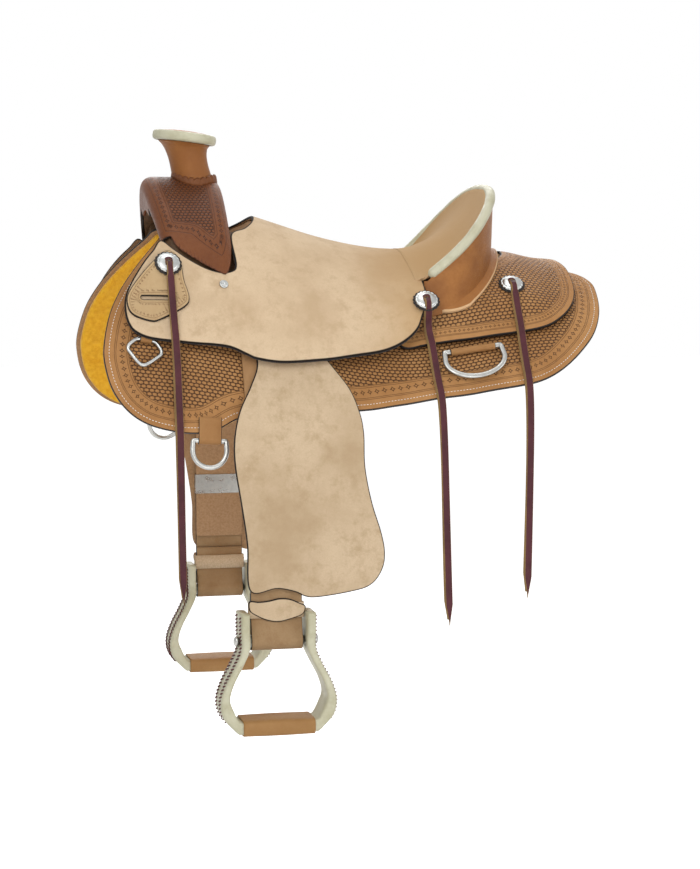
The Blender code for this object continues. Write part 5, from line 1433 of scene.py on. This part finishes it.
def build_tread(centre):
    """The leather round the straight bottom of the stirrup, with rounded lips."""
    depth = STIRRUP_DEPTH / 2 + GAP
    low, high = -STIRRUP_DROP - GAP, -STIRRUP_DROP + TREAD_WALL + GAP
    reach = TREAD_WIDTH / 2 - 0.005
    mid, tall = (low + high) / 2, (high - low) / 2
    angles = np.radians(np.arange(0, 360, 7.5))
    xs = [(-reach, 0.0002), (-reach, WRAP * 0.6), (-reach + 0.0006, WRAP * 0.9), (-reach + 0.002, WRAP)]
    xs += [(x, WRAP + 0.0004 * math.cos(x * 40)) for x in np.linspace(-reach + 0.006, reach - 0.006, 15)]
    xs += [(-x, wall) for x, wall in reversed(xs[:4])]
    xs += [(reach, 0.0002), (-reach, 0.0002)]
    rings = []
    for x, wall in xs:
        power = 9.0 if wall < 0.001 else 5.0
        y = squared(np.cos(angles), power) * (depth + wall)
        z = squared(np.sin(angles), power) * (tall + wall) + mid
        rings.append(np.stack([np.full_like(y, x), y, z], axis=1) + centre)
    return tidy(grid_mesh("tread", rings, [TREAD_LOOK], caps=False))


# Rigging dees

DEE_WIRE, BREAST_WIRE = 0.0035, 0.0026
TUNNEL_WALL, TUNNEL_PLAY = 0.0018, 0.0004
FRONT_DEE_LIFT = 0.0008


def dee_matrix(ends, lift):
    """Frame at the middle of a dee's straight bar: X along the bar, Y up the side, Z outward."""
    (xa, sa), (xb, sb) = ends
    a, b = Vector(side(xa, sa, lift)), Vector(side(xb, sb, lift))
    along = (b - a).normalized()
    out = outward((xa + xb) / 2, (sa + sb) / 2, lift)
    return frame_of((a + b) / 2, along, out - out.dot(along) * along), (b - a).length / 2


def dee_outline(half, depth, square=0.35):
    """A straight bar with a round bow below it."""
    bow = [(half * 1.04 * math.cos(a), -depth * square - depth * (1 - square) * math.sin(a))
           for a in np.linspace(0.0, math.pi, 29)]
    return even(np.array([(-half, 0.0), (half, 0.0)] + bow), 0.002)


def link_outline(half, depth, spread):
    """A straight bar whose sides open to a wide, shallow bow."""
    bow = [(half * spread, -depth * 0.30), (half * spread * 1.02, -depth * 0.48),
           (half * 0.72, -depth * 0.86), (half * 0.2, -depth)]
    points = [(-half, 0.0), (half, 0.0)] + bow + [(-x, y) for x, y in reversed(bow)]
    return rounded_corners(points, 0.0045)


def rounded_corners(points, radius, steps=5):
    """A closed line with its corners rounded."""
    p = np.asarray(points, float)
    out = []
    for i, q in enumerate(p):
        a, b = p[i - 1] - q, p[(i + 1) % len(p)] - q
        la, lb = np.linalg.norm(a), np.linalg.norm(b)
        cutoff = min(radius, la * 0.45, lb * 0.45)
        first, last = q + a / la * cutoff, q + b / lb * cutoff
        for t in np.linspace(0.0, 1.0, steps):
            out.append(first * (1 - t) ** 2 + 2 * q * t * (1 - t) + last * t ** 2)
    return np.array(out)


def tab_round(name, matrix, bore, thick, half_width, start, end):
    """A strap that lies flat, then folds round a dee's bar. start and end are flat lengths and levels."""
    radius = bore + thick / 2
    bend = [(radius * math.cos(a), radius * math.sin(a)) for a in np.radians(np.arange(78, 283, 8.0))]
    points = moved(matrix, [(0.0, y, z) for y, z in start + bend + end])
    return strap(name, points, np.array(matrix)[:3, 0], 2 * half_width, thick, [RIG_LOOK, BLACK_LOOK], 0.0008)


def build_rigging():
    bore = DEE_WIRE + TUNNEL_PLAY
    matrix, half = dee_matrix(((0.100, 0.203), (0.182, 0.206)),
                              SKIRT + GAP + DEE_WIRE + TUNNEL_PLAY + TUNNEL_WALL + 0.0006)
    bar = ring_bar("rear_dee", dee_outline(half, 0.046), matrix, 0.0037, 0.0026, STEEL_LOOK, 3.2)
    put_pair(bar, "rear_dee")
    tab = tab_round("rear_rigging", matrix, bore, TUNNEL_WALL, 0.033, [(0.0045, -bore - 0.0006 + 0.0034)],
                    [(0.0015, -bore - TUNNEL_WALL / 2)])
    put_pair(tab, "rear_rigging")
    matrix, half = dee_matrix(((-0.271, 0.383), (-0.225, 0.377)), FRONT_DEE_LIFT)
    bar = ring_bar("front_dee", dee_outline(half, 0.038), matrix, 0.0034, 0.0032, STEEL_LOOK, 2.4)
    put_pair(bar, "front_dee")
    level = SKIRT + LAYER_GAP - FRONT_DEE_LIFT + 0.0010
    tab = tab_round("front_rigging", matrix, bore, 0.0020, 0.016,
                    [(y, level) for y in np.linspace(0.032, 0.009, 8)], [])
    put_pair(tab, "front_rigging")
    matrix, half = dee_matrix(((-0.343, 0.248), (-0.317, 0.250)),
                              SKIRT + GAP + BREAST_WIRE + TUNNEL_PLAY + TUNNEL_WALL + 0.0004)
    bow = link_outline(half, 0.038, 1.75)
    bar = ring_bar("breast_dee", bow, matrix, BREAST_WIRE, BREAST_WIRE, SILVER_LOOK)
    put_pair(bar, "breast_dee")
    bore = BREAST_WIRE + TUNNEL_PLAY
    level = -bore - TUNNEL_WALL / 2
    tab = tab_round("breast_tab", matrix, bore, TUNNEL_WALL, 0.0085,
                    [(0.012, level + 2.2 * TUNNEL_WALL), (0.006, level + 3.4 * TUNNEL_WALL)],
                    [(0.004, level), (0.030, level)])
    put_pair(tab, "breast_tab")


# Rope tab, conchos and screws

ROPE_TAB = ((-0.295, 0.124), (-0.306, 0.133), (-0.330, 0.160), (-0.353, 0.191), (-0.356, 0.208),
            (-0.348, 0.221), (-0.325, 0.227), (-0.311, 0.224), (-0.276, 0.203), (-0.268, 0.189),
            (-0.274, 0.165), (-0.276, 0.140), (-0.283, 0.127))
CONCHO_RADIUS, ROSETTE_RADIUS, CONCHO_STEPS = 0.0168, 0.0200, 128
ROSETTE = ((0.35, 0.0), (0.35, 0.0016), (0.90, 0.0016), (0.97, 0.0012), (1.0, 0.0006), (0.98, 0.0),
           (0.35, 0.0))
DISC = ((0.0, 0.0064, 0.0), (0.20, 0.0064, 0.0), (0.45, 0.0061, 0.0), (0.70, 0.0053, 0.0),
        (0.80, 0.0046, 0.15), (0.84, 0.0040, 0.4), (0.90, 0.0043, 0.9), (0.95, 0.0040, 1.0),
        (0.985, 0.0031, 1.0), (1.0, 0.0023, 1.0), (0.985, 0.0017, 1.0), (0.5, 0.0017, 0.0),
        (0.0, 0.0017, 0.0))
SLOT_A, SLOT_B, SLOT_RADIUS = np.array((-0.334, 0.1970)), np.array((-0.292, 0.1930)), 0.0026
SCREW_X, SCREW_S = -0.217, 0.160
SCREW = ((0.0, 0.0020), (0.0008, 0.0020), (0.0010, 0.0027), (0.0022, 0.0028), (0.0030, 0.0024),
         (0.0034, 0.0014), (0.0042, 0.0013), (0.0050, 0.0019), (0.0060, 0.0015), (0.0065, 0.0007),
         (0.0065, 0.0), (0.0, 0.0))
CONCHOS = (("front", -0.295, 0.146, on_seat(0.0009 + STRAP + 0.0006)),
           ("mid", 0.076, 0.142, on_seat(0.0006)),
           ("rear", 0.216, 0.110, lambda x, s: jockey_lift(x, s) + JOCKEY + 0.0005))


def build_rope_tab():
    along = (SLOT_B - SLOT_A) / np.linalg.norm(SLOT_B - SLOT_A)
    off = np.array((-along[1], along[0]))
    slot_hole = []
    for end, start in ((SLOT_B, -90.0), (SLOT_A, 90.0)):
        for k in range(9):
            t = math.radians(start + 22.5 * k)
            slot_hole.append(end + (along * math.cos(t) + off * math.sin(t)) * SLOT_RADIUS)
    tab = sheet("rope_tab", curve_through(ROPE_TAB), over(on_seat(REST_GAP)), STRAP, [TAB_LOOK, FLESH_LOOK],
                holes=[np.array(slot_hole)])
    put_pair(tab, "rope_tab")


def concho_matrix(x, s, lift):
    """Frame of a concho on the leather, X along the saddle and Z outward."""
    return frame_of(side(x, s, lift(x, s)), (1, 0, 0), outward(x, s, lift(x, s)))


def build_conchos():
    angles = np.arange(CONCHO_STEPS) * math.tau / CONCHO_STEPS
    scallop = np.abs(np.sin(angles * 9.0))
    beads = np.abs(np.cos(angles * 8.0)) ** 0.7
    for place, x, s, lift in CONCHOS:
        matrix = concho_matrix(x, s, lift)

        def round_ring(r, z):
            return moved(matrix, np.stack([r * np.cos(angles), r * np.sin(angles), z + 0 * angles], axis=1))

        rings = [round_ring(ROSETTE_RADIUS * share * (1.0 - 0.07 * (1 - scallop) * (share > 0.5)), h)
                 for share, h in ROSETTE]
        parts = [tidy(grid_mesh("base", rings, [BLACK_LOOK], caps=False))]
        rings = [round_ring(CONCHO_RADIUS * share * (1.0 - 0.045 * bead * (1 - beads) * (share > 0.8)),
                            h + 0.0005 * bead * (beads - 0.6) * (0.84 < share < 0.99))
                 for share, h, bead in DISC]
        parts.append(tidy(grid_mesh("face", rings, [SILVER_LOOK], caps=False)))
        laces = [([(offset, 0.0042, 0.0052), (offset, 0.0030, 0.0068), (offset, -0.0010, 0.0070),
                   (offset, -0.0040, 0.0066), (offset * 0.8, -0.0065, 0.0052)], 0, 0.0038)
                 for offset in (-0.0036, 0.0036)]
        laces.append(([(-0.0050, 0.0036, 0.0060), (-0.002, 0.0040, 0.0078), (0.002, 0.0040, 0.0078),
                       (0.0050, 0.0036, 0.0060)], 1, 0.0042))
        for points, axis, width in laces:
            parts.append(strap("lace", curve_through(moved(matrix, points), 4, False),
                               np.array(matrix)[:3, axis], width, 0.0012, [TIE_LOOK, TIE_BACK_LOOK], 0.0003))
        put_pair(joined("concho_" + place, parts), "concho_" + place)
    seat_top = on_seat(0.0004)(SCREW_X, SCREW_S)
    matrix = frame_of(side(SCREW_X, SCREW_S, seat_top), (1, 0, 0),
                      outward(SCREW_X, SCREW_S, seat_lift(SCREW_X, SCREW_S)))
    put_pair(turned("seat_screw", SCREW, matrix, [SILVER_LOOK]), "seat_screw")


# Strings

STRING_WIDTH, STRING_THICK, STRAND_THICK = 0.012, 0.005, 0.0022
ON_SKIRT = SKIRT + 0.0016


def string_on_jockey(x, s):
    return on_jockey(x, s) + 0.0012


STRINGS = (
    ("front", ((-0.294, 0.169, on_seat(0.0055)), (-0.293, 0.215, on_seat(0.0055)),
               (-0.291, 0.246, on_seat(0.0016)), (-0.290, 0.285, 0.0150), (-0.290, 0.330, 0.0080),
               (-0.290, 0.371, ON_SKIRT)),
     ((-0.290, 0.045), (-0.289, 0.140), (-0.287, 0.245))),
    ("mid", ((0.079, 0.1665, string_on_jockey), (0.082, 0.186, string_on_jockey),
             (0.084, 0.215, ON_SKIRT + 0.003), (0.085, 0.245, ON_SKIRT), (0.087, 0.268, ON_SKIRT)),
     ((0.090, 0.060), (0.094, 0.180), (0.099, 0.330))),
    ("rear", ((0.2145, 0.1335, string_on_jockey), (0.214, 0.160, string_on_jockey),
              (0.214, 0.185, string_on_jockey), (0.214, 0.215, ON_SKIRT + 0.003), (0.214, 0.245, ON_SKIRT),
              (0.214, 0.270, ON_SKIRT)),
     ((0.215, 0.060), (0.214, 0.180), (0.212, 0.310))),
)


def build_strings():
    for (place, leather_points, free_points), (_, cx, cs, clift) in zip(STRINGS, CONCHOS):
        route = [over(lift)(x, s, 0.0) for x, s, lift in leather_points]
        last = route[-1]
        route += [np.array((x, last[1] - 0.003, last[2] - drop)) for x, drop in free_points]
        line = even(curve_through(route, 8, False), 0.006, closed=False)
        middle = line + np.array((0.0, -STRING_THICK / 2, 0.0))
        # The strands start in the slot of the concho and lie over its lower half
        start = moved(concho_matrix(cx, cs, clift),
                      [(0.0, -0.0015, 0.0080), (0.0, -0.0080, 0.0085), (0.0, -0.0150, 0.0068)])
        path = curve_through(np.vstack([start, middle[:1] + (0, 0, 0.002), middle[1:]]), 4, False)
        path = even(path, 0.0045, closed=False)
        for _ in range(14):
            path[3:-1] = (path[2:-2] + 2 * path[3:-1] + path[4:]) / 4
        share = np.linspace(0.0, 1.0, len(path))
        length = float(np.sum(np.linalg.norm(np.diff(path, axis=0), axis=1)))
        from_end = (1.0 - share) * length
        width = np.where(share * length < 0.02, 0.0080, 0.0104)
        sway = np.sin(share * 9.0 + cx * 40.0) * 0.0006
        outer = path + (0.0004, -0.0012, 0.0)
        inner = path + np.stack([-0.0006 + sway, 0.0013 + 0 * share, 0 * share], axis=1)
        strands = [strap("strand", outer, (1.0, 0.0, 0.0), width * np.clip(from_end / 0.030, 0.06, 1.0),
                         STRAND_THICK, [TIE_LOOK, TIE_BACK_LOOK]),
                   strap("strand", inner[:-2], (1.0, 0.0, 0.0),
                         (width * np.clip(from_end / 0.036, 0.3, 1.0))[:-2], STRAND_THICK,
                         [TIE_BACK_LOOK, TIE_BACK_LOOK])]
        name = "string_" + place + "_near"
        obj = put(joined(name + "_visual", strands), name)


for build in (build_skirts, build_jockeys, build_seat, build_fork, build_horn, build_cantle, build_leathers,
              build_loop, build_stirrup, build_rigging, build_rope_tab, build_conchos, build_strings):
    build()


# Floor, background and lamps

FLOOR_HEIGHT, FLOOR_HALF, FLOOR_GLOW = -1.05, 14.0, 0.80
LAMPS = (("key", (-1.6, -2.6, 2.2), 2.2, 54.0), ("fill", (2.6, -2.2, 0.9), 2.4, 26.0),
         ("front", (-0.3, -3.4, 0.2), 2.0, 16.0), ("back", (0.4, 2.6, 1.8), 2.4, 36.0),
         ("top", (0.0, 0.2, 3.0), 2.0, 25.0), ("low", (0.3, -2.0, -0.85), 1.6, 6.0))
LAMP_TARGET = Vector((0.0, 0.0, -0.15))
WORLD_LIGHT = 0.28


def seen_directly(tree):
    """1 on what the camera sees, directly or in metal or glass."""
    rays = tree.nodes.new("ShaderNodeLightPath")
    total = rays.outputs["Is Camera Ray"]
    for name in ("Is Glossy Ray", "Is Transmission Ray"):
        add = tree.nodes.new("ShaderNodeMath")
        add.operation = "MAXIMUM"
        tree.links.new(total, add.inputs[0])
        tree.links.new(rays.outputs[name], add.inputs[1])
        total = add.outputs[0]
    return total


def build_stage():
    floor = mesh_object("floor", [(x * FLOOR_HALF, y * FLOOR_HALF, FLOOR_HEIGHT)
                                  for x, y in ((-1, -1), (1, -1), (1, 1), (-1, 1))], [(0, 1, 2, 3)], [])
    material = bpy.data.materials.new("floor_white")
    material.use_nodes = True
    tree = material.node_tree
    shader = tree.nodes["Principled BSDF"]
    shader.inputs["Base Color"].default_value = (0.90, 0.90, 0.90, 1.0)
    shader.inputs["Roughness"].default_value = 0.9
    shader.inputs["Emission Color"].default_value = (1.0, 1.0, 1.0, 1.0)
    scale = tree.nodes.new("ShaderNodeMath")
    scale.operation = "MULTIPLY"
    tree.links.new(seen_directly(tree), scale.inputs[0])
    scale.inputs[1].default_value = FLOOR_GLOW
    tree.links.new(scale.outputs[0], shader.inputs["Emission Strength"])
    floor.data.materials.append(material)
    world = bpy.data.worlds.new("studio")
    bpy.context.scene.world = world
    world.use_nodes = True
    tree = world.node_tree
    background = tree.nodes["Background"]
    mix = tree.nodes.new("ShaderNodeMapRange")
    tree.links.new(seen_directly(tree), mix.inputs["Value"])
    mix.inputs["To Min"].default_value = WORLD_LIGHT
    mix.inputs["To Max"].default_value = 1.0
    background.inputs["Color"].default_value = (1.0, 1.0, 1.0, 1.0)
    tree.links.new(mix.outputs["Result"], background.inputs["Strength"])
    for name, place, width, power in LAMPS:
        data = bpy.data.lights.new(name, "AREA")
        data.shape, data.size, data.energy = "DISK", width, power
        lamp = link(bpy.data.objects.new(name, data))
        lamp.location = place
        lamp.rotation_mode = "QUATERNION"
        lamp.rotation_quaternion = (LAMP_TARGET - Vector(place)).to_track_quat("-Z", "Y")


build_stage()
bpy.context.scene.view_settings.view_transform = "Standard"
